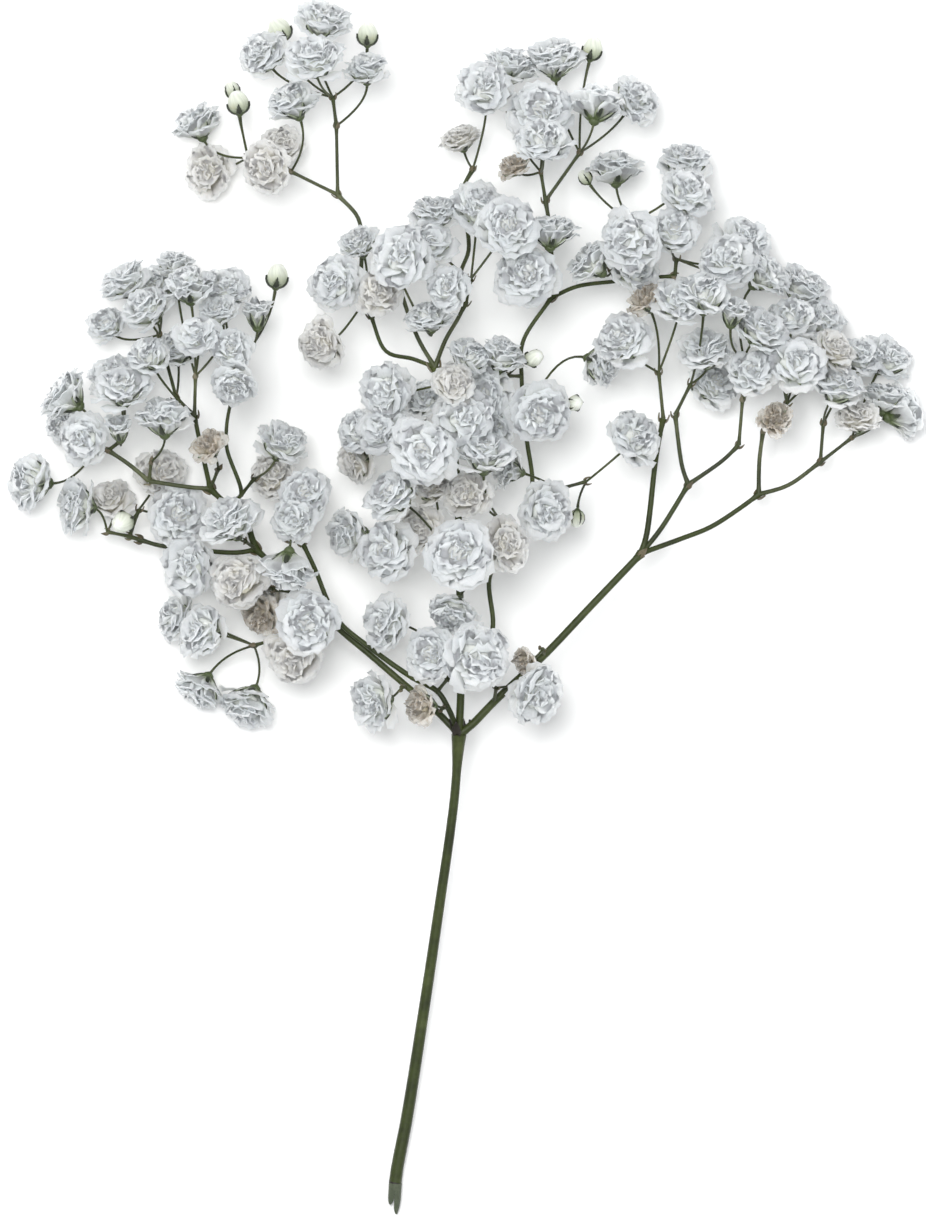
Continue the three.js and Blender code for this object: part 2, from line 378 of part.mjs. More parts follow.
// Petals give way: a head is flat where it rests, and where it meets another piece's head or stem.
function trimmedHead(head, piece) {
  let solid = headSolid(head);
  solid = solid.subtract(blockBeyond(new THREE.Vector3(), new THREE.Vector3(0, 0, -1), 400));
  for (const other of pieces) {
    if (other === piece) continue;
    for (const rival of other.heads) {
      const toRival = rival.middle.clone().sub(head.middle);
      const apart = toRival.length();
      if (apart > (head.size + rival.size) / 2 + GAP) continue;
      toRival.normalize();
      const share = (apart * head.size) / (head.size + rival.size) - GAP / 2;
      const meeting = head.middle.clone().addScaledVector(toRival, share);
      solid = solid.subtract(blockBeyond(meeting, toRival, 40));
    }
    for (const stem of other.stems) {
      const near = stem.curve.getSpacedPoints(24).some(
        (point) => point.distanceTo(head.middle) < head.size * 0.62 + stem.radii[0] + GAP + 1);
      if (near) solid = solid.subtract(stemSolid(stem, GAP));
      if (near && stem.knot) solid = solid.subtract(knotSolid(stem, GAP));
    }
  }
  return bodyOnStalk(solid, stemSolid(head.stalk));
}

function pieceSolid(piece) {
  let solid = null;
  for (const stem of piece.stems) {
    const shaft = stemSolid(stem);
    solid = solid ? solid.add(shaft) : shaft;
    if (stem.knot) solid = solid.add(knotSolid(stem));
  }
  solid = clearOfKin(solid, piece);
  for (const head of piece.heads) solid = solid.add(trimmedHead(head, piece));
  return solid;
}

const stemGreen = new THREE.MeshStandardMaterial({ color: 0x46542a, roughness: 0.62, metalness: 0 });
const petalWhite = new THREE.MeshStandardMaterial({ color: 0xdfe4e8, roughness: 0.7, metalness: 0 });

const gypsophila = new THREE.Group();
for (const piece of pieces) {
  const made = pieceSolid(piece).getMesh();
  const geometry = new THREE.BufferGeometry();
  geometry.setAttribute('position', new THREE.BufferAttribute(new Float32Array(made.vertProperties), 3));
  geometry.setIndex(new THREE.BufferAttribute(new Uint32Array(made.triVerts), 1));
  const mesh = new THREE.Mesh(geometry, piece.wood ? stemGreen : petalWhite);
  mesh.name = piece.name;
  gypsophila.add(mesh);
}

// Centre the box on x and y, and stand its lowest point on z = 0.
const box = new THREE.Box3().setFromObject(gypsophila);
const centre = box.getCenter(new THREE.Vector3());
for (const mesh of gypsophila.children) mesh.position.set(-centre.x, -centre.y, -box.min.z);

export default gypsophila;
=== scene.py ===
# %% [markdown]
# A cut sprig of double gypsophila, laid on a table.
# The sprig is one main stem that opens at a fork into branches, then into thinner and thinner
# twigs, and each thread-like stalk ends in a small green calyx that holds a ruffled white head.
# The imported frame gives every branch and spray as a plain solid. Here each of them is replaced by
# the grown thing: round tapering stems, green calyxes and petals that are each a sheet of their own.

# %% Load the frame
import math
import random

import bpy
import bmesh
from mathutils import Matrix, Quaternion, Vector


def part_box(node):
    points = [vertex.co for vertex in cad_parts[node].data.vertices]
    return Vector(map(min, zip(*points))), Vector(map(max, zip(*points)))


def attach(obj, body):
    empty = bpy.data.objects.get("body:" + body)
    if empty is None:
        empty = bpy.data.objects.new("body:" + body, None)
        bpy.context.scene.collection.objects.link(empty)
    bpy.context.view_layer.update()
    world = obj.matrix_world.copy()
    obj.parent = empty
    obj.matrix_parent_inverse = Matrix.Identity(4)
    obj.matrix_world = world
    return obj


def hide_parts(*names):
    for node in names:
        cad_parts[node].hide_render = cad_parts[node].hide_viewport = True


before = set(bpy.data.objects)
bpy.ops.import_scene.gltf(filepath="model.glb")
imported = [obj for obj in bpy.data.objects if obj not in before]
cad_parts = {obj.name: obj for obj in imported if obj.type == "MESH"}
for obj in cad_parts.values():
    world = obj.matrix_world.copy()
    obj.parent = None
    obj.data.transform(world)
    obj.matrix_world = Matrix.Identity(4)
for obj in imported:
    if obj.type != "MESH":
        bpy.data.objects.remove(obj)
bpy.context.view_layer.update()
MM = 0.001
print("nodes in the frame:", len(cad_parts))

# %% [markdown]
# Every operator in Blender acts on what is selected, so the first helpers only look after the
# selection. A copy always takes its own mesh, so that it can be placed by moving its points and
# its object can stay at the origin.

# %% Helpers for selecting, copying and joining
def deselect():
    if bpy.context.mode != "OBJECT":
        bpy.ops.object.mode_set(mode="OBJECT")
    bpy.ops.object.select_all(action="DESELECT")


def only(obj):
    deselect()
    obj.select_set(True)
    bpy.context.view_layer.objects.active = obj


def copy_at(template, matrix, name):
    copy = template.copy()
    copy.data = template.data.copy()
    copy.name = name
    copy.data.transform(matrix)
    bpy.context.scene.collection.objects.link(copy)
    return copy


def join(objects, name):
    deselect()
    for obj in objects:
        obj.select_set(True)
    bpy.context.view_layer.objects.active = objects[0]
    if len(objects) > 1:
        bpy.ops.object.join()
    joined = bpy.context.view_layer.objects.active
    joined.name = name
    joined.data.name = name
    return joined


def apply_all(obj):
    only(obj)
    for modifier in list(obj.modifiers):
        bpy.ops.object.modifier_apply(modifier=modifier.name)


def pick(obj, test):
    """In edit mode, selects the points that pass the test."""
    net = bmesh.from_edit_mesh(obj.data)
    for vert in net.verts:
        vert.select = False
    net.select_flush(False)
    for vert in net.verts:
        vert.select = test(vert.co)
    net.select_flush(True)
    bmesh.update_edit_mesh(obj.data)


def settle(piece, *nodes, slot):
    """Hands a finished piece to the frame: it rides with the sprig and stands for its nodes."""
    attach(piece, "root")
    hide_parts(*nodes)


print("helpers ready")

# %% [markdown]
# The plan of the sprig repeats the one that its solids were made from, in millimetres, with the
# main fork at x = 0, y = 0. A branch is a line of points with a radius at each end. A spray has
# twigs, by letter, and heads: the joint that the stalk leaves, the middle of the head, the heading
# of its face in degrees anticlockwise from +X, the lift of its face, its diameter and its kind.

# %% The plan of the branches and sprays
BRANCHES = [
  ["main_stem", None, 1.02, 0.78, [
    [-11, -80, 1.1], [-10.6, -74, 1.7], [-8.7, -63.7, 2.9], [-6.6, -50.5, 4.7], [-3.6, -30.5, 7.9],
    [-0.8, -10.5, 11.4], [0, 0.4, 13]]],
  ["branch_centre", "main_stem", 0.66, 0.55, [
    [0.3, 8, 14], [0.2, 20, 15.6], [0, 30, 16.8], [-0.4, 44, 18.6], [-2, 54, 19.5], [-4, 61.4, 20]]],
  ["branch_left", "main_stem", 0.58, 0.48, [
    [-3.9, 4.4, 12.4], [-8.8, 8.5, 11.6], [-15, 13.8, 11], [-20, 18, 10.6], [-25.5, 23.7, 10.6],
    [-33.8, 31.2, 11]]],
  ["branch_left_inner", "main_stem", 0.48, 0.38, [
    [-1.9, 5, 15], [-3.6, 7.6, 15.2], [-7.8, 9.9, 14.6], [-15, 15, 13.4], [-19.8, 19, 13],
    [-21.8, 22.5, 13], [-24, 28, 13.4], [-26.1, 32.4, 14]]],
  ["branch_right", "main_stem", 0.68, 0.58, [
    [2, 1.9, 13.2], [5.8, 5.8, 13.6], [9.2, 9, 13.6], [14.2, 13.6, 13.2], [22, 21.8, 12.4],
    [30.4, 30.6, 12]]],
  ["branch_inner_right", "branch_centre:1", 0.42, 0.34, [
    [3.5, 13, 14.2], [5.6, 18, 13.6], [5.2, 27, 13.4], [9.4, 32.4, 13.6], [11.9, 38.4, 13.8],
    [12.2, 43, 14.2], [11.2, 50, 15], [10.4, 60, 16.4], [10.6, 65.6, 17], [15.3, 73, 17.6]]],
  ["branch_left_far", "branch_left", 0.42, 0.36, [
    [-37, 30.7, 10.6], [-45, 31.3, 9.6], [-50, 31.9, 9], [-53.4, 32.9, 8.6]]],
  ["branch_left_middle", "branch_left", 0.55, 0.46, [
    [-34.6, 33.4, 11.6], [-35.6, 36.4, 12.2], [-39.2, 39.2, 12.6], [-41.4, 41.3, 12.8]]],
  ["branch_left_tall", "branch_left_middle:2", 0.38, 0.28, [
    [-36.3, 40.2, 14.4], [-38.6, 48, 15.6], [-38.6, 52, 16], [-37.8, 56.4, 16.6]]],
  ["branch_left_high", "branch_left_middle", 0.42, 0.36, [
    [-42.2, 44.9, 13.6], [-43.4, 50.4, 14.6], [-44, 53.5, 15]]],
  ["branch_right_upright", "branch_right", 0.5, 0.42, [
    [31.3, 34, 12.4], [32.6, 45, 13.4], [33.2, 49, 13.8], [34, 53, 14.2]]],
  ["branch_right_middle", "branch_right", 0.44, 0.4, [
    [33.6, 34.6, 11.6], [38.2, 42, 11.4]]],
  ["branch_right_low", "branch_right", 0.44, 0.4, [
    [37, 33, 10.8], [42, 35, 10], [47, 38.2, 9.4], [50, 40.4, 9]]],
  ["branch_upper_side", "branch_centre", 0.36, 0.32, [
    [-7.6, 62.8, 19], [-12.1, 64.1, 17.6], [-14.7, 70.2, 16.6]]],
  ["branch_upper_right", "branch_inner_right", 0.36, 0.32, [
    [19.6, 74.9, 16.6], [26, 75.8, 15.4], [31, 76.4, 14.6], [35.9, 76.7, 14]]],
]

SPRAYS = [
  ["spray_top_left_crest", "branch_upper_side", {
    "A": ["", [-16.2, 76, 14.6], [-16.2, 82, 13.4], [-16.8, 86.4, 13], [-20.2, 90.3, 12.6]],
    "b": ["A", [-20.4, 101.7, 14]], "c": ["b", [-21, 106.4, 15]] }, [
    ["c", -22.5, 119.3, 17, 75, 30, 8.5, "open"], ["c", -24, 112.5, 25, 100, 45, 9, "open"],
    ["c", -15.2, 117, 12, 88, 10, 4, "bud"], ["b", -15.5, 111.3, 17, 95, 30, 7, "open"],
    ["c", -32.5, 113.7, 16, 120, 45, 8, "open"], ["c", -30, 117.8, 10, 108, 10, 4.3, "bud"]]],
  ["spray_top_left_tip", "spray_top_left_crest:A", {
    "a": ["", [-28, 94.2, 11]], "b": ["a", [-35.2, 96.6, 9]] }, [
    ["a", -27.7, 106, 20, 112, 20, 8.5, "open"], ["a", -32, 94.7, 17.5, 200, 70, 8, "cream"],
    ["a", -29.6, 98.6, 6, 100, 60, 7.5, "cream"], ["b", -44, 103, 5.4, 112, 12, 8, "open"],
    ["b", -42, 94.3, 4.2, 190, 70, 8, "cream"], ["b", -37.9, 107.8, 9, 105, 8, 3.2, "bud"],
    ["b", -36.8, 105.6, 12, 98, 12, 4, "bud"]]],
  ["spray_top_middle", "branch_inner_right", {
    "A": ["", [15.4, 78, 15.8], [15.2, 84, 14.8], [14.4, 89.2, 14.6]], "b": ["A", [13.6, 94, 15.6]] }, [
    ["b", 14, 99, 27, 90, 45, 9, "open"], ["b", 13.6, 104, 19.6, 100, 70, 10, "open"],
    ["b", 8.4, 112.2, 11, 80, 15, 8.5, "open"], ["b", 9, 95.2, 18, 130, 40, 5.8, "old"]]],
  ["spray_top_right", "spray_top_middle:A", { "a": ["", [20.1, 97.2, 15]] }, [
    ["a", 16, 113.5, 11, 92, 15, 9, "open"], ["a", 22.3, 114.7, 9.5, 75, 10, 4, "bud"],
    ["a", 23, 105.5, 19, 80, -15, 8.5, "open"], ["a", 29.3, 106.5, 11, 58, 40, 8.2, "open"]]],
  ["spray_upper_crown", "branch_centre", {
    "A": ["", [-2.2, 66, 20.6], [-0.1, 69.6, 20.8], [1.1, 72, 21]], "b": ["A", [2, 76, 23]] }, [
    ["b", 8, 84.5, 29, 60, 65, 10, "open"], ["b", 3.2, 88.2, 20.5, 85, 45, 9.5, "open"],
    ["b", -4, 87.4, 19, 85, 30, 7.5, "open"], ["b", -1.8, 74.4, 30, 120, 70, 7, "open"]]],
  ["spray_top_inner", "spray_upper_crown:A", {
    "A": ["", [0.3, 77, 17.6], [1.6, 81, 15.4], [1.2, 86, 13.8], [0.6, 91, 13.4], [2.3, 94.5, 14]] }, [
    ["A", 4.3, 108, 18, 95, 50, 9.5, "open"], ["A", 0.2, 100, 11, 105, 25, 6, "cream"]]],
  ["spray_upper_right_top", "branch_upper_right:2", {
    "a": ["", [28.2, 81, 11.6], [28.6, 85.8, 11.6]] }, [
    ["a", 26, 95.3, 12, 93, 5, 8, "open"], ["a", 21, 93.2, 11.5, 125, 10, 2.6, "bud"],
    ["a", 38, 90.5, 18, 70, 55, 8.5, "open"], ["a", 37.8, 96.2, 10, 82, 35, 8, "open"]]],
  ["spray_upper_right", "branch_upper_right", { "a": ["", [36.2, 79.6, 13.4]] }, [
    ["a", 35.6, 84, 21, 85, 45, 8.5, "open"], ["a", 44.6, 79.2, 20, 60, 65, 9, "open"],
    ["a", 47.5, 83, 11, 60, 40, 9.5, "open"]]],
  ["spray_upper_right_inner", "branch_upper_right:1", { "a": ["", [25.4, 77.6, 17]] }, [
    ["a", 28, 82.6, 26, 120, 65, 10, "open"], ["a", 21.6, 79.2, 20.5, 135, 10, 8, "open"],
    ["a", 29.4, 77.6, 19, 50, 60, 7.5, "open"]]],
  ["spray_upper_middle", "branch_inner_right", { "a": ["", [13.4, 75.4, 19.4]] }, [
    ["a", 11.3, 76.4, 25.4, 100, 75, 9.5, "open"], ["a", 15.2, 84.4, 22, 88, 0, 8, "open"]]],
  ["spray_upper_front", "branch_centre", {
    "A": ["", [-6.8, 66.2, 20.4], [-9.5, 73.8, 20.8], [-9.6, 75.6, 22]] }, [
    ["A", -9.6, 79.6, 31, 110, 65, 10, "open"], ["A", -5.2, 82, 23.6, 80, 50, 8.5, "open"],
    ["A", -5, 69.8, 27, 100, 30, 7, "open"]]],
  ["spray_upper_left", "branch_upper_side", { "a": ["", [-15.4, 73, 18.6]] }, [
    ["a", -23, 65.2, 19, 200, 60, 8, "cream"],
    ["a", -20.4, 75.4, 23, 160, 65, 9.2, "open"], ["a", -16.6, 82.2, 20, 110, 30, 6.4, "open"],
    ["a", -13.2, 73.8, 25.6, 90, 70, 7.4, "cream"]]],
  ["spray_centre_top", "branch_centre:4", { "a": ["", [-3.4, 58.4, 23.4]] }, [
    ["a", -12, 57.3, 25, 170, 70, 8.8, "open"], ["a", -0.8, 58.4, 31, 60, 70, 7, "cream"],
    ["a", 1.8, 63.4, 25.6, 62, 25, 7.5, "open"]]],
  ["spray_centre_right", "branch_inner_right:7", { "a": ["", [8, 60, 19]] }, [
    ["a", 4.2, 56.8, 22, 200, 70, 8.6, "open"], ["a", 7.4, 63.6, 23.4, 70, 15, 8, "open"],
    ["a", 12.4, 62.9, 22, 20, 50, 3.6, "bud"]]],
  ["spray_centre_heart", "branch_centre:3", { "a": ["", [-1.6, 47.4, 23.4]], "b": ["a", [-8, 46.6, 17.4]] }, [
    ["a", -6, 47.3, 35, 150, 82, 10, "open"], ["a", 1, 53, 29.4, 60, 75, 9.5, "open"],
    ["a", -12.4, 50.8, 25.6, 150, 60, 8.4, "open"], ["b", -16.4, 51, 19.4, 150, 55, 7.4, "open"],
    ["b", -17.4, 46, 13, 200, 30, 7, "cream"], ["b", -5.6, 56.4, 15.4, 100, 60, 6.4, "open"]]],
  ["spray_centre_low_left", "branch_centre:2", { "a": ["", [-3.2, 32.6, 19.4]],
    "b": ["a", [-4.8, 33, 14.6]] }, [
    ["a", -11.2, 40.3, 28.6, 145, 38, 9, "open"], ["a", -12, 31, 24.6, 175, 55, 9, "open"],
    ["a", -4.6, 41.8, 22.6, 110, 50, 7, "cream"], ["b", -18.8, 33.8, 13.6, 186, 30, 8.6, "open"],
    ["b", -6.4, 34.6, 19.6, 160, 70, 7.2, "cream"]]],
  ["spray_inner_low", "branch_inner_right:2", { "a": ["", [4, 28, 17.6]] }, [
    ["a", 0, 30.5, 33, 150, 82, 10.4, "open"], ["a", 7.8, 32.2, 26.6, 40, 70, 8.2, "cream"],
    ["a", -1, 20.4, 21.6, 248, 35, 8, "open"]]],
  ["spray_inner_middle", "branch_inner_right:3", { "a": ["", [7.6, 35.4, 17.6]] }, [
    ["a", 4.2, 47.4, 29.6, 88, 25, 9.2, "open"], ["a", 1.2, 40.2, 26.4, 150, 70, 7.2, "cream"]]],
  ["spray_side_twig", "branch_inner_right:4", {
    "a": ["", [14.4, 39.6, 15.4], [16.5, 41.2, 16.4]], "b": ["a", [21.2, 42.5, 17]] }, [
    ["a", 7.8, 44.6, 20, 165, 15, 7, "open"], ["b", 29.5, 49.8, 20, 45, 55, 9.2, "open"],
    ["b", 19.6, 36.4, 14, 265, 0, 3, "bud"], ["a", 14.5, 37.4, 23, 330, 70, 8.8, "open"]]],
  ["spray_inner_upper", "branch_inner_right:6", { "a": ["", [11.6, 54, 19]] }, [
    ["a", 13.2, 53.8, 26.4, 300, 80, 9.6, "open"], ["a", 19.2, 55.4, 22.6, 0, 60, 3.1, "bud"],
    ["a", 24.2, 62, 15.6, 340, 20, 8, "open"], ["a", 6, 51.4, 22, 210, 40, 6.4, "open"]]],
  ["spray_crown_front", "branch_left_inner:1", { "a": ["", [-1.8, 9.8, 18]] }, [
    ["a", 3, 13, 27, 330, 78, 10.4, "open"], ["a", -4.6, 13.8, 23, 160, 65, 8.8, "open"]]],
  ["flower_crown_left", "branch_left:1", { "a": ["", [-9.6, 8.2, 13.4]] }, [
    ["a", -14.5, 5.6, 15.6, 195, 35, 9, "open"]]],
  ["flower_crown_cream", "branch_left_inner:0", { "a": ["", [-2.8, 4.8, 17.4]] }, [
    ["a", -6.8, 5, 19, 185, 30, 7.4, "old"]]],
  ["flower_crown_shade", "branch_centre:0", { "a": ["", [-3.4, 15.4, 15.4]] }, [
    ["a", -12.2, 19, 18, 175, 50, 8.4, "open"]]],
  ["flower_right_node", "branch_right:1", { "a": ["", [6.2, 8.2, 16.8]] }, [
    ["a", 13, 7.2, 21, 320, 65, 9, "open"]]],
  ["flower_right_old", "branch_right:3", { "a": ["", [13.9, 14.6, 16.4]] }, [
    ["a", 10.7, 12.3, 17.6, 205, 35, 5.4, "old"]]],
  ["spray_lower_left_hang", "branch_left_inner", { "a": ["", [-28.2, 32.8, 15]] }, [
    ["a", -28.6, 27.2, 23.4, 262, -5, 9.2, "open"], ["a", -25.6, 40.4, 19.4, 100, 62, 8.6, "open"],
    ["a", -27.4, 36, 22.6, 160, 75, 7.4, "open"]]],
  ["spray_lower_left_big", "branch_left:3", { "a": ["", [-24.8, 18, 12.8]] }, [
    ["a", -25.2, 19, 23.6, 200, 82, 9.8, "open"], ["a", -27.4, 13.2, 16.4, 250, 70, 8.2, "cream"],
    ["a", -31.5, 24, 8, 170, 60, 6.2, "cream"]]],
  ["spray_lower_left", "spray_lower_left_big:a", { "a": ["", [-34.2, 15.2, 10]] }, [
    ["a", -43, 17.6, 13.6, 170, 40, 9, "open"], ["a", -47.6, 20, 6, 165, 20, 8, "open"],
    ["a", -43.6, 7.4, 5, 238, 10, 8, "open"], ["a", -35.6, 4.8, 5, 245, 20, 9, "open"]]],
  ["spray_left_inner", "branch_left:4", { "a": ["", [-31, 24.6, 14]] }, [
    ["a", -36.6, 26, 19, 190, 70, 9, "cream"], ["a", -33.2, 20.2, 12, 220, 60, 7.4, "old"],
    ["a", -45, 28.4, 13.6, 170, 65, 8.8, "open"]]],
  ["spray_left_fork", "branch_left", { "a": ["", [-35.6, 32.6, 15.4]] }, [
    ["a", -38.2, 36.2, 21, 118, 35, 9.4, "open"]]],
  ["flower_left_shade", "branch_left_inner", { "a": ["", [-27.2, 36.4, 12.4]] }, [
    ["a", -31.2, 43.4, 9.6, 95, 60, 7, "cream"]]],
  ["spray_left_far", "branch_left_far", {
    "d": ["", [-55, 33.4, 8.2]], "a": ["d", [-53.4, 37.9, 9]], "b": ["d", [-58.8, 34.2, 6.6]] }, [
    ["a", -46.8, 37, 10, 40, 80, 9.6, "open"], ["a", -56, 35.7, 13, 200, 60, 4.2, "bud"],
    ["a", -49.6, 44, 5.6, 60, 55, 7.6, "cream"], ["b", -58.2, 39.8, 4.4, 100, 50, 7, "cream"],
    ["b", -64.2, 38.6, 9.6, 172, 25, 8.4, "open"]]],
  ["spray_left_front", "branch_left_middle", {
    "A": ["", [-45, 41.6, 13], [-51.6, 42.6, 13]], "b": ["A", [-51.2, 45.8, 15.4]] }, [
    ["b", -49, 53.6, 20, 93, 15, 8.8, "open"]]],
  ["spray_left_edge", "spray_left_front:A", {
    "A": ["", [-55, 45.4, 13], [-58.4, 47.7, 13]], "b": ["A", [-60.6, 48, 12.4]],
    "c": ["A", [-56.4, 49.2, 14]] }, [
    ["b", -72, 42.6, 8, 175, 25, 9.4, "open"], ["b", -66, 57, 14, 145, 0, 8.6, "open"],
    ["b", -62.4, 49.6, 18.4, 190, 70, 8.2, "open"], ["b", -66, 52, 5, 170, 40, 7.4, "open"],
    ["c", -56, 58.2, 20, 98, 35, 8.6, "open"], ["c", -57.8, 60.4, 11, 110, 30, 8, "open"],
    ["c", -56.4, 51.4, 19.6, 95, 30, 6, "half"]]],
  ["spray_left_middle", "branch_left_high", { "a": ["", [-47, 56.4, 15.6]], "b": ["a", [-50, 67, 10.4]] }, [
    ["a", -51.5, 63.6, 20, 112, 40, 7.2, "open"], ["a", -47, 64.8, 13, 95, 35, 7.2, "open"],
    ["b", -52, 71.6, 16, 125, 35, 8.2, "open"], ["b", -59, 68.8, 8, 130, 45, 6.4, "open"],
    ["b", -56, 76.2, 9, 122, 20, 8, "open"], ["b", -50.6, 76, 4.4, 100, 30, 7.4, "open"]]],
  ["spray_left_upper", "branch_left_high", { "a": ["", [-43.8, 60, 16.4]] }, [
    ["a", -43.3, 66.6, 25, 95, 65, 7.4, "open"], ["a", -45, 75.6, 17, 98, 20, 8.5, "open"],
    ["a", -40, 70.8, 19, 110, 35, 6.2, "open"], ["a", -47.4, 79, 10, 95, 10, 6.6, "open"]]],
  ["spray_left_tall", "branch_left_tall", { "a": ["", [-37.2, 61.6, 18]] }, [
    ["a", -37.4, 58.4, 26, 250, 55, 6.8, "open"],
    ["a", -37.6, 64.4, 24.6, 100, 65, 7, "open"], ["a", -38.6, 74.8, 13, 80, 55, 7.2, "open"],
    ["a", -33.6, 70.6, 16, 92, 10, 6.8, "half"], ["a", -30.3, 76.7, 12, 82, 10, 4.2, "bud"]]],
  ["flower_left_old", "branch_left_middle", { "a": ["", [-40, 44.6, 16.6]] }, [
    ["a", -41.8, 48.6, 20.6, 125, 45, 6.8, "old"]]],
  ["flower_left_side", "branch_left_tall:0", { "a": ["", [-34, 43, 16.4]] }, [
    ["a", -29.4, 49.4, 13, 70, 30, 8.4, "open"]]],
  ["spray_right_upright", "branch_right_upright", { "a": ["", [33.2, 60.6, 16.4]] }, [
    ["a", 27.4, 66, 24, 120, 55, 9.4, "open"], ["a", 30.6, 73, 21.4, 118, 30, 6.8, "old"],
    ["a", 36.6, 72.4, 25, 85, 60, 8.2, "open"]]],
  ["spray_right_a", "branch_right_middle", {
    "A": ["", [37.2, 45, 11.6], [36, 53.6, 12]], "b": ["A", [38.6, 58.8, 13]] }, [
    ["b", 41, 64.6, 17.6, 95, 40, 9, "open"], ["b", 40.6, 73.8, 26, 88, 30, 9.2, "open"],
    ["b", 42.6, 59, 7, 40, 50, 8, "open"]]],
  ["spray_right_b", "branch_right_middle", {
    "A": ["", [44, 46.1, 12], [46.6, 48.6, 12.4]], "b": ["A", [47.2, 56.2, 14]],
    "c": ["b", [47.4, 63, 15]] }, [
    ["c", 50.4, 68, 20.6, 55, 35, 8.4, "open"], ["c", 45.2, 70.6, 25, 85, 20, 6.4, "half"],
    ["b", 48.6, 60.6, 21, 100, 60, 7.6, "open"], ["c", 51.2, 77.4, 14, 45, 20, 8.4, "open"]]],
  ["spray_right_c", "branch_right_low", {
    "A": ["", [50.1, 46, 9.6], [50.7, 51, 10.4]], "b": ["A", [54.6, 55.4, 12]] }, [
    ["b", 56, 62, 21, 60, 62, 9.6, "open"], ["b", 55.8, 70, 13.4, 80, 45, 8.2, "open"],
    ["b", 57.6, 75.6, 6, 62, 20, 8.2, "open"], ["b", 60.8, 69.8, 8, 60, 40, 7.4, "open"],
    ["A", 52.6, 52.9, 19, 60, 70, 6.2, "old"], ["b", 62.6, 64.6, 15, 55, 45, 6.8, "cream"]]],
  ["spray_right_tip", "branch_right_low", {
    "A": ["", [55, 42, 8.6], [60.3, 45.8, 8.2]], "b": ["A", [60.8, 52.3, 9]],
    "c": ["A", [65.6, 49.9, 8.3]] }, [
    ["b", 63.2, 58.6, 16, 62, 30, 8.2, "open"], ["b", 67, 63.6, 7.4, 60, 40, 8, "open"],
    ["c", 66.4, 53.4, 13, 92, 35, 7.2, "cream"], ["c", 71.2, 57, 7, 80, 10, 7.2, "open"],
    ["c", 71.6, 63.8, 4.2, 62, 30, 8.4, "open"], ["c", 74.4, 54.4, 5, 22, -25, 8.4, "open"]]],
]
print("branches and sprays in the plan:", len(BRANCHES), len(SPRAYS))

# %% Where the plan lies in the frame
PLAN_CENTRE = Vector((1.157, 21.126, 0.218))     # the middle of the sprig's box, on the surface


def spot(point):
    return (Vector(point) - PLAN_CENTRE) * MM


stem_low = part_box("main_stem")[0]
print("cut end in the frame and in the plan, y:", round(stem_low.y, 4), round(spot((-11, -80, 1)).y, 4))

# %% [markdown]
# The camera looks straight down, as one looks at a flower laid on a table. A long lens from two
# metres away keeps the tall middle of the spray from swelling towards the viewer.

# %% Camera
FRAME_HEIGHT = 203.0 * MM       # how much of the table the picture takes in from top to bottom
LENS = 350.0
SENSOR = 36.0
SHARP_HEIGHT = 11.0 * MM        # the height above the table at which the scale is true
distance = FRAME_HEIGHT * LENS / SENSOR
bpy.ops.object.camera_add(location=(-0.49 * MM, 0.17 * MM, SHARP_HEIGHT + distance), rotation=(0, 0, 0))
camera = bpy.context.object
camera.data.lens = LENS
camera.data.sensor_width = SENSOR
camera.data.clip_start = 0.01
camera.data.clip_end = 50.0
bpy.context.scene.camera = camera
print("camera stands", round(distance, 3), "m above the sprig")

# %% [markdown]
# Petals are thin and nearly white. What makes them read as petals is a cool grey edge, which is
# painted cool shade, a cream heart with a little green at its base, and fine veins that fan out
# from the claw. All of it follows the petal's own map, across and along, so every petal carries it
# the right way round.

# %% Helpers for a finish
def colour_ramp(nodes, stops):
    ramp = nodes.new("ShaderNodeValToRGB")
    ramp.color_ramp.interpolation = "EASE"
    while len(ramp.color_ramp.elements) < len(stops):
        ramp.color_ramp.elements.new(0.5)
    for element, (place, colour) in zip(ramp.color_ramp.elements, stops):
        element.position = place
        element.color = (*colour, 1)
    return ramp


def new_material(name):
    material = bpy.data.materials.new(name)
    material.use_nodes = True
    nodes = material.node_tree.nodes
    return material, nodes, material.node_tree.links, nodes["Principled BSDF"]


def noise(nodes, links, vector, scale, detail):
    texture = nodes.new("ShaderNodeTexNoise")
    texture.inputs["Scale"].default_value = scale
    texture.inputs["Detail"].default_value = detail
    links.new(vector, texture.inputs["Vector"])
    return texture.outputs["Fac"]


def ramped(nodes, links, value, stops):
    ramp = colour_ramp(nodes, stops)
    links.new(value, ramp.inputs["Fac"])
    return ramp.outputs["Color"]


def multiply(nodes, links, first, second):
    """One colour darkened by another."""
    mix = nodes.new("ShaderNodeMix")
    mix.data_type = "RGBA"
    mix.blend_type = "MULTIPLY"
    mix.inputs["Factor"].default_value = 1.0
    links.new(first, mix.inputs["A"])
    links.new(second, mix.inputs["B"])
    return mix.outputs["Result"]


def raise_bumps(nodes, links, shader, height, strength, distance):
    bump = nodes.new("ShaderNodeBump")
    bump.inputs["Strength"].default_value = strength
    bump.inputs["Distance"].default_value = distance
    links.new(height, bump.inputs["Height"])
    links.new(bump.outputs["Normal"], shader.inputs["Normal"])


print("finish helpers ready")

# %% Petal finish
MAP = "OFBake"                  # the name of every piece's own map
TILE = 0.5                      # each petal finish has a quarter of the map to itself
WANDER = 0.24                   # how far the bands of colour stray along a petal


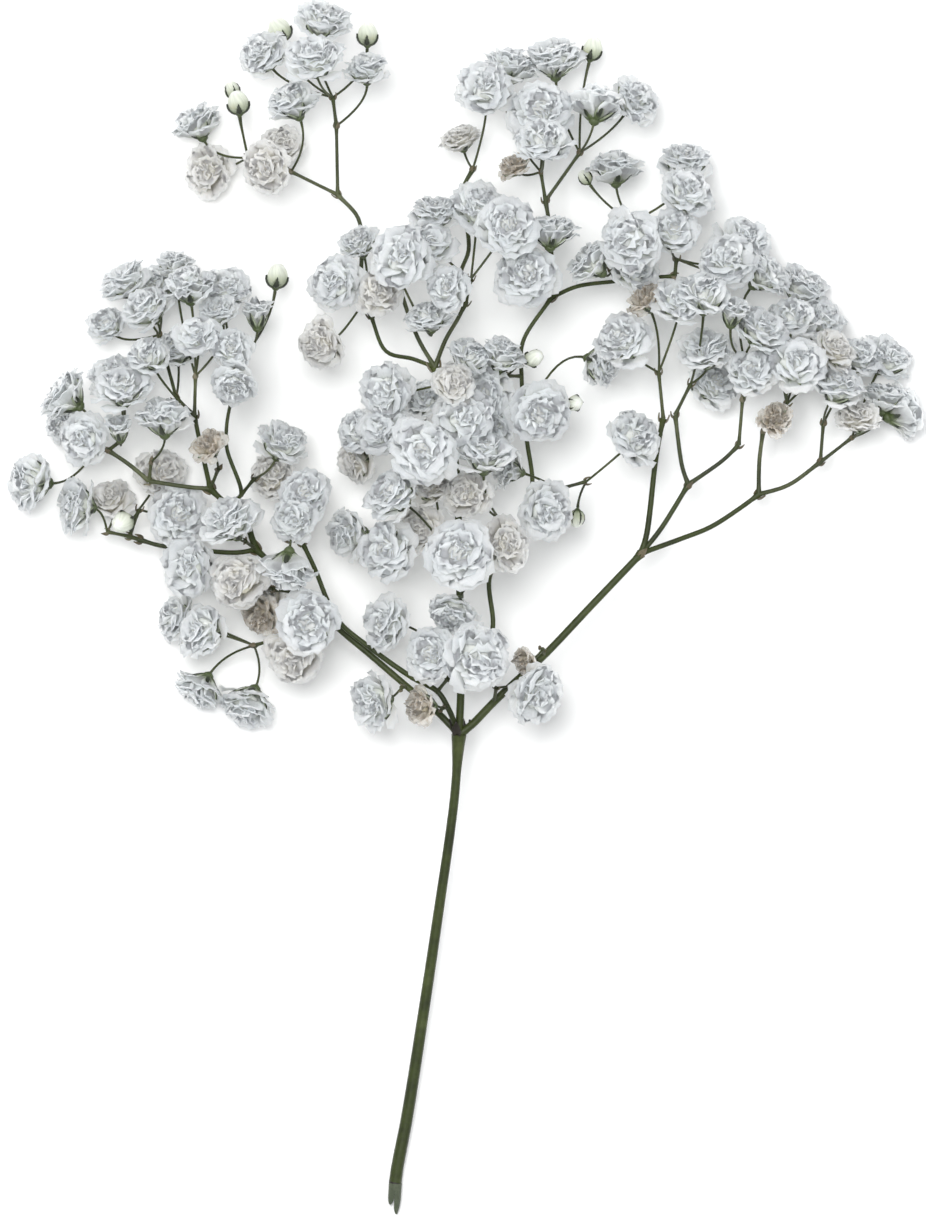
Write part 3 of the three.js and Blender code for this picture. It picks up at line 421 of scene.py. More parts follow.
def petal_finish(name, tile, stops, mottle, mottle_strength):
    material, nodes, links, shader = new_material(name)
    own_map = nodes.new("ShaderNodeUVMap")
    own_map.uv_map = MAP
    whole = nodes.new("ShaderNodeMapping")
    whole.inputs["Location"].default_value = (-tile[0], -tile[1], 0)
    whole.inputs["Scale"].default_value = (1 / TILE, 1 / TILE, 1)
    links.new(own_map.outputs["UV"], whole.inputs["Vector"])
    split = nodes.new("ShaderNodeSeparateXYZ")
    links.new(whole.outputs["Vector"], split.inputs["Vector"])
    blotch = noise(nodes, links, whole.outputs["Vector"], 3.5, 3.0)
    wander = nodes.new("ShaderNodeMath")
    wander.operation = "MULTIPLY_ADD"
    links.new(blotch, wander.inputs[0])
    wander.inputs[1].default_value = WANDER
    links.new(split.outputs["Y"], wander.inputs[2])
    shift = nodes.new("ShaderNodeMath")
    shift.operation = "SUBTRACT"
    links.new(wander.outputs[0], shift.inputs[0])
    shift.inputs[1].default_value = WANDER / 2
    along = ramped(nodes, links, shift.outputs[0], stops)
    fan = nodes.new("ShaderNodeMapping")
    fan.inputs["Scale"].default_value = (26.0, 2.2, 1.0)
    links.new(whole.outputs["Vector"], fan.inputs["Vector"])
    veins = noise(nodes, links, fan.outputs["Vector"], 1.0, 4.0)
    faint = (1 - mottle_strength,) * 3
    vein_shade = ramped(nodes, links, veins, [(0.3, faint), (0.62, (1, 1, 1))])
    spots = ramped(nodes, links, blotch, [(0.5, (1, 1, 1)), (0.74, mottle)])
    veined = multiply(nodes, links, along, vein_shade)
    links.new(multiply(nodes, links, veined, spots), shader.inputs["Base Color"])
    raise_bumps(nodes, links, shader, veins, 0.2, 0.00008)
    shader.inputs["Roughness"].default_value = 0.8
    shader.inputs["Specular IOR Level"].default_value = 0.12
    shader.inputs["Subsurface Weight"].default_value = 0.85
    shader.inputs["Subsurface Radius"].default_value = (0.0028, 0.0028, 0.0026)
    shader.inputs["Subsurface Scale"].default_value = 1.0
    return material


print("each petal finish has a tile of", TILE, "of the map")

# %% The petal colours
PETAL_TILES = {"white": (0.0, 0.0), "cream": (1.0, 0.0), "old": (0.0, 1.0)}
# The last stops of the white and cream ramps, at the petals' ends, are a cool grey: painted shade.
WHITE_STOPS = [(0.0, (0.36, 0.45, 0.15)), (0.2, (0.62, 0.69, 0.46)), (0.42, (0.78, 0.81, 0.74)),
               (0.66, (0.81, 0.84, 0.83)), (1.0, (0.79, 0.84, 0.87))]
CREAM_STOPS = [(0.0, (0.38, 0.43, 0.16)), (0.2, (0.66, 0.65, 0.44)), (0.45, (0.79, 0.76, 0.65)),
               (0.8, (0.80, 0.785, 0.73)), (1.0, (0.77, 0.77, 0.75))]
OLD_STOPS = [(0.0, (0.32, 0.29, 0.12)), (0.3, (0.60, 0.53, 0.36)), (0.6, (0.72, 0.65, 0.51)),
             (0.85, (0.68, 0.60, 0.48)), (1.0, (0.48, 0.40, 0.30))]
petal_white = petal_finish("petal_white", PETAL_TILES["white"], WHITE_STOPS, (0.97, 0.97, 0.96), 0.07)
petal_cream = petal_finish("petal_cream", PETAL_TILES["cream"], CREAM_STOPS, (0.97, 0.94, 0.89), 0.07)
petal_old = petal_finish("petal_old", PETAL_TILES["old"], OLD_STOPS, (0.72, 0.58, 0.46), 0.22)
BUD_STOPS = [(0.0, (0.22, 0.27, 0.13)), (0.35, (0.42, 0.46, 0.33)), (0.7, (0.66, 0.69, 0.60)),
             (0.9, (0.76, 0.79, 0.73)), (1.0, (0.77, 0.80, 0.76))]
bud_cream = petal_finish("bud_cream", (1.0, 1.0), BUD_STOPS, (0.9, 0.86, 0.76), 0.15)
PETAL_FINISH = {"white": petal_white, "cream": petal_cream, "old": petal_old}
print("petal finishes:", ", ".join(PETAL_FINISH))

# %% [markdown]
# The green of a stem isn't one green. It is mottled with paler and darker patches and has a dull
# waxy gloss. The mottling comes from noise on the object's own coordinates, which suits thin round
# things with no seam to follow. Twigs, scales and the cut foot are the same finish in other tones.

# %% Stem finish
def stem_finish(name, dark, mid, light, grain):
    material, nodes, links, shader = new_material(name)
    place = nodes.new("ShaderNodeTexCoord").outputs["Object"]
    broad = noise(nodes, links, place, 140.0, 3.0)
    tone = ramped(nodes, links, broad, [(0.3, dark), (0.5, mid), (0.72, light)])
    fine = noise(nodes, links, place, grain, 4.0)
    speck = ramped(nodes, links, fine, [(0.35, (0.78, 0.78, 0.78)), (0.6, (1.0, 1.0, 1.0))])
    links.new(multiply(nodes, links, tone, speck), shader.inputs["Base Color"])
    raise_bumps(nodes, links, shader, fine, 0.4, 0.0001)
    shader.inputs["Roughness"].default_value = 0.5
    shader.inputs["Specular IOR Level"].default_value = 0.25
    return material


stem_green = stem_finish(
    "stem_green", (0.014, 0.020, 0.003), (0.027, 0.038, 0.006), (0.056, 0.071, 0.018), 1400.0)
twig_green = stem_finish(
    "twig_green", (0.019, 0.024, 0.008), (0.038, 0.047, 0.016), (0.080, 0.090, 0.040), 1800.0)
cut_pale = stem_finish("cut_pale", (0.040, 0.052, 0.030), (0.070, 0.085, 0.052), (0.12, 0.13, 0.09), 2200.0)
rim_dark = stem_finish("rim_dark", (0.010, 0.009, 0.008), (0.018, 0.015, 0.014), (0.03, 0.026, 0.024), 2600.0)
bract_papery = stem_finish("bract_papery", (0.06, 0.05, 0.03), (0.12, 0.10, 0.06), (0.24, 0.22, 0.15), 2600.0)
# A dark copy of the papery scale finish, for the crown's scales: painted shade under the heads.
bract_shaded = stem_finish(
    "bract_shaded", (0.012, 0.010, 0.008), (0.026, 0.022, 0.017), (0.05, 0.045, 0.035), 2600.0)
print("stem finishes:", stem_green.name, twig_green.name, cut_pale.name, rim_dark.name)
print("bract finishes:", bract_papery.name, bract_shaded.name)

# %% [markdown]
# A sepal has a dark olive midrib and a pale, almost clear margin. That pattern runs along the
# sepal, so it reads the sepal's map: across for the margin, along for the light green foot.

# %% Calyx finish
def calyx_finish(name, foot, rib, margin):
    material, nodes, links, shader = new_material(name)
    own_map = nodes.new("ShaderNodeUVMap")
    own_map.uv_map = MAP
    split = nodes.new("ShaderNodeSeparateXYZ")
    links.new(own_map.outputs["UV"], split.inputs["Vector"])
    stripe = [(0.0, margin), (0.12, margin), (0.24, rib), (0.76, rib), (0.88, margin), (1.0, margin)]
    across = ramped(nodes, links, split.outputs["X"], stripe)
    fade = [(0.0, (1, 1, 1)), (0.16, (0.8, 0.8, 0.8)), (0.36, (0, 0, 0))]
    blend = nodes.new("ShaderNodeMix")
    blend.data_type = "RGBA"
    links.new(ramped(nodes, links, split.outputs["Y"], fade), blend.inputs["Factor"])
    links.new(across, blend.inputs["A"])
    blend.inputs["B"].default_value = (*foot, 1)
    grain = noise(nodes, links, own_map.outputs["UV"], 14.0, 2.0)
    worn = ramped(nodes, links, grain, [(0.3, (0.8, 0.8, 0.8)), (0.7, (1.1, 1.1, 1.1))])
    links.new(multiply(nodes, links, blend.outputs["Result"], worn), shader.inputs["Base Color"])
    shader.inputs["Roughness"].default_value = 0.55
    return material


calyx_green = calyx_finish("calyx_green", (0.07, 0.10, 0.030), (0.012, 0.017, 0.006), (0.26, 0.30, 0.20))
print("calyx finish: calyx_green")

# %% [markdown]
# A petal starts as a flat grid. Each row is drawn in to the petal's width at that height, the end
# is notched and its corners rounded, the sides are lifted to cup it, the margin is ruffled, and
# then it is rolled row by row. Solidify gives it a real thickness. A handful of petals, made once
# each, is enough: turned and sized differently, no two heads look the same.

# %% One petal
PETAL_ROWS = 6
PETAL_COLUMNS = 4
PETAL_OUTLINE = (0.16, 0.30, 0.54, 0.82, 1.0, 1.0, 0.80)
PETAL_THICKNESS = 0.014         # all petal sizes are shares of the head's radius


def make_petal(name, width, notch, cup, ruffle, belly, flare, seed):
    deselect()
    bpy.ops.mesh.primitive_grid_add(
        x_subdivisions=PETAL_COLUMNS, y_subdivisions=PETAL_ROWS, size=1, location=(0, 0.5, 0))
    petal = bpy.context.object
    petal.name = name
    bpy.ops.object.transform_apply(location=True, rotation=False, scale=False)
    petal.data.uv_layers[0].name = MAP
    bpy.ops.object.mode_set(mode="EDIT")
    for row, share in enumerate(PETAL_OUTLINE):
        pick(petal, lambda co: abs(co.y - row / PETAL_ROWS) < 0.02)
        bpy.ops.transform.resize(value=(share * width, 1, 1), center_override=(0, 0, 0))
    pick(petal, lambda co: co.y > 0.98 and abs(co.x) < 0.02)
    bpy.ops.transform.translate(value=(0, -notch, 0))
    pick(petal, lambda co: co.y > 0.98 and abs(co.x) > width * 0.36)
    bpy.ops.transform.translate(value=(0, -0.13, 0))
    pick(petal, lambda co: co.y > 0.4 and abs(co.x) > width * 0.3)
    bpy.ops.transform.translate(value=(0, 0, cup))
    for wave in (0, 1):
        crest = 1 if (wave + seed) % 2 else -1
        pick(petal, lambda co: co.y > 0.7 and round(co.x / width * 4) % 2 == wave)
        bpy.ops.transform.translate(value=(0, 0, crest * ruffle * 0.5))
    pick(petal, lambda co: co.y > 0.55)
    bpy.ops.transform.vertex_random(offset=ruffle * 0.6, uniform=0.2, seed=seed)
    for row in range(1, PETAL_ROWS + 1):
        net = bmesh.from_edit_mesh(petal.data)
        net.verts.ensure_lookup_table()
        first = row * (PETAL_COLUMNS + 1)
        hinge = net.verts[first - 1 - PETAL_COLUMNS // 2].co.copy()
        for vert in net.verts:
            vert.select = vert.index >= first
        bmesh.update_edit_mesh(petal.data)
        turn = -belly if row <= PETAL_ROWS // 2 else flare
        bpy.ops.transform.rotate(
            value=math.radians(turn) * 2 / PETAL_ROWS, orient_axis="X", center_override=hinge)
    bpy.ops.object.mode_set(mode="OBJECT")
    wall = petal.modifiers.new("wall", "SOLIDIFY")
    wall.thickness = PETAL_THICKNESS
    wall.offset = 0
    apply_all(petal)
    bpy.ops.object.shade_smooth()
    return petal


print("rows and columns of a petal:", PETAL_ROWS, PETAL_COLUMNS)

# %% Petal shapes, from the outermost to the innermost
#                 width notch  cup   ruffle belly flare seed
PETAL_SHAPES = [(0.94, 0.04, 0.00, 0.028, 40, 66, 3), (0.90, 0.06, 0.01, 0.030, 36, 76, 8),
                (0.86, 0.04, 0.01, 0.034, 28, 84, 14), (0.80, 0.07, 0.02, 0.042, 20, 90, 21),
                (0.74, 0.05, 0.03, 0.060, 10, 92, 27), (0.44, 0.05, 0.10, 0.120, 10, -20, 35)]
petals = [make_petal(f"petal_shape_{i}", *shape) for i, shape in enumerate(PETAL_SHAPES)]
drops = [p.data.vertices[PETAL_ROWS * (PETAL_COLUMNS + 1) + 2].co.z for p in petals]
print("petal shapes:", len(petals), "tip heights", [round(d, 2) for d in drops])

# %% [markdown]
# A double head is a nest of whorls. The outer petals spread flat and turn down at the edge, the
# next stand up more, and the innermost are narrow and crumpled over the heart. Each variant is
# arranged once, with its own seeded draw of small turns and sizes.

# %% The whorls of a head
RECEPTACLE = -0.72              # height of the petals' foot below the middle of the head
#            petals, shape, lift of the foot, length
OPEN_WHORLS = [(8, 0, 18, 1.20), (8, 1, 40, 1.34), (7, 2, 57, 1.42), (6, 3, 70, 1.40), (5, 3, 80, 1.34),
               (4, 4, 88, 1.28), (5, 5, 84, 1.26)]
HALF_WHORLS = [(6, 1, 50, 1.30), (5, 2, 66, 1.46), (5, 3, 76, 1.50), (3, 4, 84, 1.44)]
OLD_WHORLS = [(7, 1, 26, 1.1), (7, 2, 46, 1.2), (7, 5, 60, 1.2), (6, 5, 72, 1.24), (4, 5, 84, 1.2)]

for title, whorls in (("open", OPEN_WHORLS), ("half-open", HALF_WHORLS), ("old", OLD_WHORLS)):
    print("petals in an", title, "head:", sum(whorl[0] for whorl in whorls))

# %% The heart
CORE_RADIUS = {"white": 0.58, "cream": 0.56, "old": 0.36}
CORE_BAND = (0.24, 0.2)         # where the heart's tone starts on a petal's map, and its width
HALF_CORE = 0.8                 # a half-open head has a smaller heart


def make_core(name, seed, radius):
    """A lumpy ball for the petals packed under the heart, where only a soft ground shows."""
    deselect()
    bpy.ops.mesh.primitive_uv_sphere_add(segments=12, ring_count=8, radius=radius, location=(0, 0, -0.24))
    core = bpy.context.object
    bpy.ops.object.transform_apply(location=True, rotation=False, scale=False)
    core.name = name
    core.data.uv_layers[0].name = MAP
    bpy.ops.object.mode_set(mode="EDIT")
    pick(core, lambda co: co.z > -0.2)
    bpy.ops.transform.vertex_random(offset=0.07, uniform=0.3, seed=seed)
    pick(core, lambda co: co.z < -0.3)
    bpy.ops.transform.resize(value=(0.7, 0.7, 0.9), center_override=(0, 0, -0.3))
    bpy.ops.object.mode_set(mode="OBJECT")
    bpy.ops.object.shade_smooth()
    for corner in core.data.uv_layers[MAP].data:
        corner.uv = (corner.uv.x, CORE_BAND[0] + corner.uv.y * CORE_BAND[1])
    return core


print("heart radius for each tone:", CORE_RADIUS)

# %% Arranging petals into a head
def arrange(name, whorls, looseness, seed, tone):
    draw = random.Random(seed)
    parts = []
    for ring, (count, shape, lift, length) in enumerate(whorls):
        start = draw.uniform(0, 360)
        wild = looseness * (0.8 + 0.5 * ring)
        for i in range(count):
            around = math.radians(start + 360 * i / count + draw.uniform(-8, 8) * wild)
            rise = math.radians(lift + draw.uniform(-7, 7) * wild)
            roll = math.radians(draw.uniform(-14, 14) * wild)
            long = length * draw.uniform(0.90, 1.05)
            wide = draw.uniform(0.9, 1.12)
            pick_shape = min(len(petals) - 1, max(0, shape + draw.choice((0, 0, 1))))
            pose = (Matrix.Translation((0, 0, RECEPTACLE)) @ Matrix.Rotation(around, 4, "Z")
                    @ Matrix.Translation((0, 0.05, 0)) @ Matrix.Rotation(rise, 4, "X")
                    @ Matrix.Rotation(roll, 4, "Y") @ Matrix.Diagonal((wide, long, long, 1)))
            parts.append(copy_at(petals[pick_shape], pose, f"{name}_petal"))
    closed = HALF_CORE if whorls is HALF_WHORLS else 1
    parts.append(make_core(f"{name}_core", seed, CORE_RADIUS[tone] * closed))
    head = join(parts, name)
    tile = PETAL_TILES[tone]
    for corner in head.data.uv_layers[MAP].data:
        corner.uv = ((corner.uv.x + tile[0]) * TILE, (corner.uv.y + tile[1]) * TILE)
    head.data.materials.clear()
    head.data.materials.append(PETAL_FINISH[tone])
    return head


print("arranging takes its petals from", len(petals), "shapes")

# %% The heads
heads = {
    "open": [arrange(f"open_head_{i}", OPEN_WHORLS, 1.0 + 0.15 * i, 40 + i, "white") for i in range(7)],
    "cream": [arrange(f"cream_head_{i}", OPEN_WHORLS, 1.4, 60 + i, "cream") for i in range(3)],
    "half": [arrange(f"half_head_{i}", HALF_WHORLS, 0.8, 80 + i, "white") for i in range(2)],
    "old": [arrange(f"old_head_{i}", OLD_WHORLS, 2.2, 90 + i, "old") for i in range(3)],
}
for kind, group in heads.items():
    print(kind, "heads:", len(group), "faces each:", [len(h.data.polygons) for h in group])

# %% [markdown]
# The calyx is a small light green bell. Five sepals grow from its rim and press against the
# underside of the head: they are what one sees first when a flower looks away.

# %% One sepal
SEPALS = 5
SEPAL_ROWS = 5
SEPAL_THICKNESS = 0.03
SEPAL_OUTLINE = (0.62, 0.95, 1.0, 0.74, 0.4, 0.06)


def make_sepal(name, width, length, curl):
    deselect()
    bpy.ops.mesh.primitive_grid_add(x_subdivisions=2, y_subdivisions=SEPAL_ROWS, size=1, location=(0, 0.5, 0))
    sepal = bpy.context.object
    sepal.name = name
    bpy.ops.object.transform_apply(location=True, rotation=False, scale=False)
    sepal.data.uv_layers[0].name = MAP
    bpy.ops.object.mode_set(mode="EDIT")
    for row, share in enumerate(SEPAL_OUTLINE):
        pick(sepal, lambda co: abs(co.y - row / SEPAL_ROWS) < 0.02)
        bpy.ops.transform.resize(value=(share * width, 1, 1), center_override=(0, 0, 0))
    pick(sepal, lambda co: abs(co.x) > 0.01)
    bpy.ops.transform.translate(value=(0, 0, width * 0.22))
    for row in range(1, SEPAL_ROWS + 1):
        net = bmesh.from_edit_mesh(sepal.data)
        net.verts.ensure_lookup_table()
        hinge = net.verts[(row - 1) * 3 + 1].co.copy()
        for vert in net.verts:
            vert.select = vert.index >= row * 3
        bmesh.update_edit_mesh(sepal.data)
        bpy.ops.transform.rotate(
            value=math.radians(curl) / SEPAL_ROWS, orient_axis="X", center_override=hinge)
    bpy.ops.object.mode_set(mode="OBJECT")
    sepal.data.transform(Matrix.Diagonal((1, length, length, 1)))
    wall = sepal.modifiers.new("wall", "SOLIDIFY")
    wall.thickness = SEPAL_THICKNESS
    wall.offset = 0
    apply_all(sepal)
    bpy.ops.object.shade_smooth()
    return sepal


print("rows of a sepal:", SEPAL_ROWS)

# %% The calyx
FOOT_TONE = (0.5, 0.12)         # the light green foot on a sepal's map


def make_calyx(name, lift, length, width, curl, rim):
    deselect()
    bpy.ops.mesh.primitive_cone_add(
        vertices=10, radius1=0.08, radius2=rim, depth=0.22, location=(0, 0, -0.84))
    bell = bpy.context.object
    bpy.ops.object.transform_apply(location=True, rotation=False, scale=False)
    bell.data.uv_layers[0].name = MAP
    bpy.ops.object.mode_set(mode="EDIT")
    bpy.ops.mesh.select_all(action="SELECT")
    bpy.ops.mesh.bisect(plane_co=(0, 0, -0.86), plane_no=(0, 0, 1))
    pick(bell, lambda co: abs(co.z + 0.86) < 0.01)
    bpy.ops.transform.resize(value=(1.3, 1.3, 1), center_override=(0, 0, -0.86))
    bpy.ops.object.mode_set(mode="OBJECT")
    bpy.ops.object.shade_smooth()
    for corner in bell.data.uv_layers[MAP].data:
        corner.uv = FOOT_TONE
    sepal = make_sepal(f"{name}_sepal", width, length, curl)
    parts = [bell]
    for i in range(SEPALS):
        around = Matrix.Rotation(math.radians(360 / SEPALS * i + 9), 4, "Z")
        pose = (around @ Matrix.Translation((0, rim * 0.66, -0.81))
                @ Matrix.Rotation(math.radians(lift), 4, "X"))
        parts.append(copy_at(sepal, pose, f"{name}_part"))
    bpy.data.objects.remove(sepal)
    calyx = join(parts, name)
    calyx.data.materials.clear()
    calyx.data.materials.append(calyx_green)
    return calyx


calyxes = {
    "open": make_calyx("calyx_open", 22, 0.96, 0.36, -40, 0.25),
    "half": make_calyx("calyx_half", 34, 1.02, 0.38, -52, 0.28),
}
print("calyx faces:", {k: len(c.data.polygons) for k, c in calyxes.items()})

# %% [markdown]
# A bud is a tight ball of furled petals. Five sepals hold it to about half its height, and in the
# smallest buds they still wrap it nearly to the top. The ball starts as a sphere: some of its
# meridians are drawn in as folds, the upper rings are turned to twist them, and the top is raised.

# %% The furled ball of a bud
def make_bud():
    deselect()
    bpy.ops.mesh.primitive_uv_sphere_add(segments=15, ring_count=9, radius=0.88)
    ball = bpy.context.object
    ball.data.uv_layers[0].name = MAP
    bpy.ops.object.mode_set(mode="EDIT")
    pick(ball, lambda co: round(math.degrees(math.atan2(co.y, co.x)) / 24) % 3 == 0 and co.z > -0.2)
    bpy.ops.transform.resize(value=(0.84, 0.84, 1), center_override=(0, 0, 0))
    for level, twist in ((0.2, 10), (0.45, 16), (0.7, 24)):
        pick(ball, lambda co: co.z > level)
        bpy.ops.transform.rotate(value=math.radians(twist), orient_axis="Z", center_override=(0, 0, 0))
    pick(ball, lambda co: co.z > 0.5)
    bpy.ops.transform.translate(value=(0, 0, 0.14))
    bpy.ops.object.mode_set(mode="OBJECT")
    smooth = ball.modifiers.new("smooth", "SUBSURF")
    smooth.levels = 1
    smooth.render_levels = 1
    apply_all(ball)
    bpy.ops.object.shade_smooth()
    for corner in ball.data.uv_layers[MAP].data:
        corner.uv = ((corner.uv.x + 1) * TILE, (corner.uv.y + 1) * TILE)
    ball.data.materials.clear()
    ball.data.materials.append(bud_cream)
    ball.name = "bud_ball"
    return ball


heads["bud"] = [make_bud()]
print("bud faces:", len(heads["bud"][0].data.polygons))

# %% The sepals round a bud
def make_bud_calyx(name, width, length, curl):
    sepal = make_sepal(f"{name}_sepal", width, length, curl)
    parts = []
    for i in range(SEPALS):
        around = Matrix.Rotation(math.radians(360 / SEPALS * i), 4, "Z")
        pose = (around @ Matrix.Translation((0, 0.1, -0.94))
                @ Matrix.Rotation(math.radians(-10), 4, "X"))
        parts.append(copy_at(sepal, pose, f"{name}_part"))
    bpy.data.objects.remove(sepal)
    deselect()
    bpy.ops.mesh.primitive_cone_add(vertices=8, radius1=0.1, radius2=0.4, depth=0.3, location=(0, 0, -1.0))
    foot = bpy.context.object
    bpy.ops.object.transform_apply(location=True, rotation=False, scale=False)
    foot.data.uv_layers[0].name = MAP
    for corner in foot.data.uv_layers[MAP].data:
        corner.uv = FOOT_TONE
    calyx = join([foot] + parts, name)
    calyx.data.materials.clear()
    calyx.data.materials.append(calyx_green)
    return calyx


calyxes["bud"] = make_bud_calyx("bud_calyx", 0.74, 1.5, -100)
calyxes["tight"] = make_bud_calyx("tight_calyx", 0.92, 2.4, -150)
for kind in ("bud", "tight"):
    print(kind, "calyx faces:", len(calyxes[kind].data.polygons))

# %% [markdown]
# A stem is a curve with a round bevel, which gives every point a radius of its own. A branch thins
# as it goes and swells at its fork, as the knots of this plant do, and a stalk flares a little
# where it meets its calyx. Each piece's curves are turned into one mesh when they are done.

# %% Smooth lines for the stems
def catmull(points, spacing):
    """Points along a centripetal Catmull-Rom line, which passes through all the given ones."""
    line = [points[0] * 2 - points[1]] + points + [points[-1] * 2 - points[-2]]
    out = []
    for i in range(1, len(line) - 2):
        p0, p1, p2, p3 = line[i - 1:i + 3]
        t0 = 0.0
        t1 = t0 + max(1e-6, (p1 - p0).length ** 0.5)
        t2 = t1 + max(1e-6, (p2 - p1).length ** 0.5)
        t3 = t2 + max(1e-6, (p3 - p2).length ** 0.5)
        steps = max(2, round((p2 - p1).length / spacing))
        for s in range(steps):
            t = t1 + (t2 - t1) * s / steps
            a1 = p0 * ((t1 - t) / (t1 - t0)) + p1 * ((t - t0) / (t1 - t0))
            a2 = p1 * ((t2 - t) / (t2 - t1)) + p2 * ((t - t1) / (t2 - t1))
            a3 = p2 * ((t3 - t) / (t3 - t2)) + p3 * ((t - t2) / (t3 - t2))
            b1 = a1 * ((t2 - t) / (t2 - t0)) + a2 * ((t - t0) / (t2 - t0))
            b2 = a2 * ((t3 - t) / (t3 - t1)) + a3 * ((t - t1) / (t3 - t1))
            out.append(b1 * ((t2 - t) / (t2 - t1)) + b2 * ((t - t1) / (t2 - t1)))
    out.append(points[-1].copy())
    return out


def quadratic(a, b, c, steps):
    return [a.lerp(b, i / steps).lerp(b.lerp(c, i / steps), i / steps) for i in range(steps + 1)]


print("line helpers ready")

# %% Stems from lines
def stems_to_mesh(name, lines, bevel_resolution, material):
    """Turns (points, radii) lines into one closed mesh of round stems."""
    deselect()
    bpy.ops.curve.primitive_nurbs_path_add()
    path = bpy.context.object
    path.data.splines.clear()
    path.data.bevel_depth = 1.0
    path.data.bevel_resolution = bevel_resolution
    path.data.use_fill_caps = True
    for points, radii in lines:
        spline = path.data.splines.new("POLY")
        spline.points.add(len(points) - 1)
        for knot, point, radius in zip(spline.points, points, radii):
            knot.co = (*point, 1)
            knot.radius = radius
    only(path)
    bpy.ops.object.convert(target="MESH")
    stem = bpy.context.object
    bpy.ops.object.transform_apply(location=True, rotation=True, scale=True)
    bpy.ops.object.mode_set(mode="EDIT")
    bpy.ops.mesh.select_all(action="SELECT")
    bpy.ops.mesh.remove_doubles(threshold=1e-7)
    bpy.ops.mesh.normals_make_consistent(inside=False)
    bpy.ops.object.mode_set(mode="OBJECT")
    bpy.ops.object.shade_smooth_by_angle(angle=math.radians(50))
    stem.name = name
    stem.data.name = name
    stem.data.materials.clear()
    stem.data.materials.append(material)
    return stem


print("stems can be made from lines")

# %% [markdown]
# Where a stem forks, two small dry scales clasp it. A scale is a sepal's shape, drawn wider and
# curled the other way, in a papery finish, so the sepal's own helper makes it.

# %% Bracts: the dry scales at a fork
def make_bract():
    bract = make_sepal("bract", 0.62, 1.0, 26)
    bract.data.materials.clear()
    bract.data.materials.append(bract_papery)
    return bract


bract = make_bract()
bracts_draw = random.Random(7)


def bracts_at(joint, along, radius, size, name):
    """Two scales that clasp the stem below a fork and point up it."""
    side = along.orthogonal().normalized()
    turn = bracts_draw.uniform(0, 360)
    parts = []
    for half in (0, 180):
        out = side.copy()
        out.rotate(Quaternion(along, math.radians(turn + half)))
        across = along.cross(out)
        lean = (along * 0.86 + out * 0.5).normalized()
        normal = lean.cross(across) * -1
        across = lean.cross(normal)
        axes = Matrix((across, lean, normal)).transposed().to_4x4()
        pose = Matrix.Translation(joint + out * radius * 0.8) @ axes @ Matrix.Scale(size, 4)
        parts.append(copy_at(bract, pose, name))
    return parts


print("bract faces:", len(bract.data.polygons))

# %% [markdown]
# Now the sprig grows from its plan. Branches come first, because each later one starts at a point
# of an earlier one, then the sprays with their twigs, stalks, calyxes and heads.

# %% How thick a stem is along its way
SWELL = 1.5                     # how much thicker a knot is than its stem
SWELL_REACH = 1.6 * MM          # how far below the fork the stem begins to swell


def grown_radii(points, first, last, foot, swell=SWELL, swell_reach=SWELL_REACH):
    """Radius at each point: a taper, a knot at the end and a slight flare at the foot."""
    lengths = [0.0]
    for a, b in zip(points, points[1:]):
        lengths.append(lengths[-1] + (b - a).length)
    whole = lengths[-1]
    out = []
    for here in lengths:
        radius = first + (last - first) * here / whole
        near_end = max(0.0, 1 - (whole - here) / swell_reach)
        near_foot = max(0.0, 1 - here / (1.3 * MM)) * foot
        out.append(radius * (1 + (swell - 1) * near_end ** 1.5 + 0.35 * near_foot))
    return out


print("a knot is", SWELL, "times as thick as its stem")

# %% Grow the branches
MAIN_RADII = (1.06 * MM, 0.72 * MM)     # of the main stem, at its foot and below its crown
CROWN_SWELL = 1.75                      # the crown is the knot where all the branches leave
CROWN_REACH = 7.0 * MM
FOOT_ROOM = 5.0 * MM                    # left free at the foot for its split end
THICK_BRANCH = 0.45                     # above this end radius, in mm, a branch has larger scales
joints = {}
bract_parts = []
for name, parent, first, last, points in BRANCHES:
    path = [spot(p) for p in points]
    if parent:
        path.insert(0, joints[parent])
    for i, point in enumerate(path):
        joints[f"{name}:{i - 1 if parent else i}"] = point
    joints[name] = path[-1]
    line = catmull(path, 0.8 * MM)
    if name == "main_stem":
        line = [p for p in line if (p - line[0]).length > FOOT_ROOM]
        radii = grown_radii(line, *MAIN_RADII, 0, CROWN_SWELL, CROWN_REACH)
    else:
        radii = grown_radii(line, first * MM, last * MM, 1)
    stem = stems_to_mesh(f"{name}_rind", [(line, radii)], 3, stem_green)
    settle(stem, name, slot="stem")
    along = (line[-1] - line[-4]).normalized()
    if name == "main_stem":
        crown_scales = bracts_at(line[-1], along, 1.1 * MM, 2.6 * MM, "crown_scale")
        crown_scales += bracts_at(line[-1] + along * 0.5 * MM, along, 1.2 * MM, 2.2 * MM, "crown_scale")
        continue
    bract_parts.append((name, bracts_at(line[-1] - along * 0.6 * MM, along, last * MM * 1.2,
                                        (1.9 if last > THICK_BRANCH else 1.5) * MM, f"{name}_bract")))
# The crown's scales take the dark copy of the scale finish, which is painted shade.
crown_bracts = join(crown_scales, "crown_bracts")
crown_bracts.data.materials.clear()
crown_bracts.data.materials.append(bract_shaded)
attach(crown_bracts, "root")
print("stems and branches grown:", len(BRANCHES))

# %% [markdown]
# The foot of the main stem was snipped and has split: the last few millimetres have dried pale and
# stand apart as two blunt prongs behind a dark rim. Each prong is half of a cylinder, cut along
# its axis by bisect, with its end drawn in to one side.

# %% The split foot
FOOT_LENGTH = 5.2 * MM
foot_end = joints["main_stem:0"]
foot_way = (joints["main_stem:0"] - joints["main_stem:1"]).normalized()


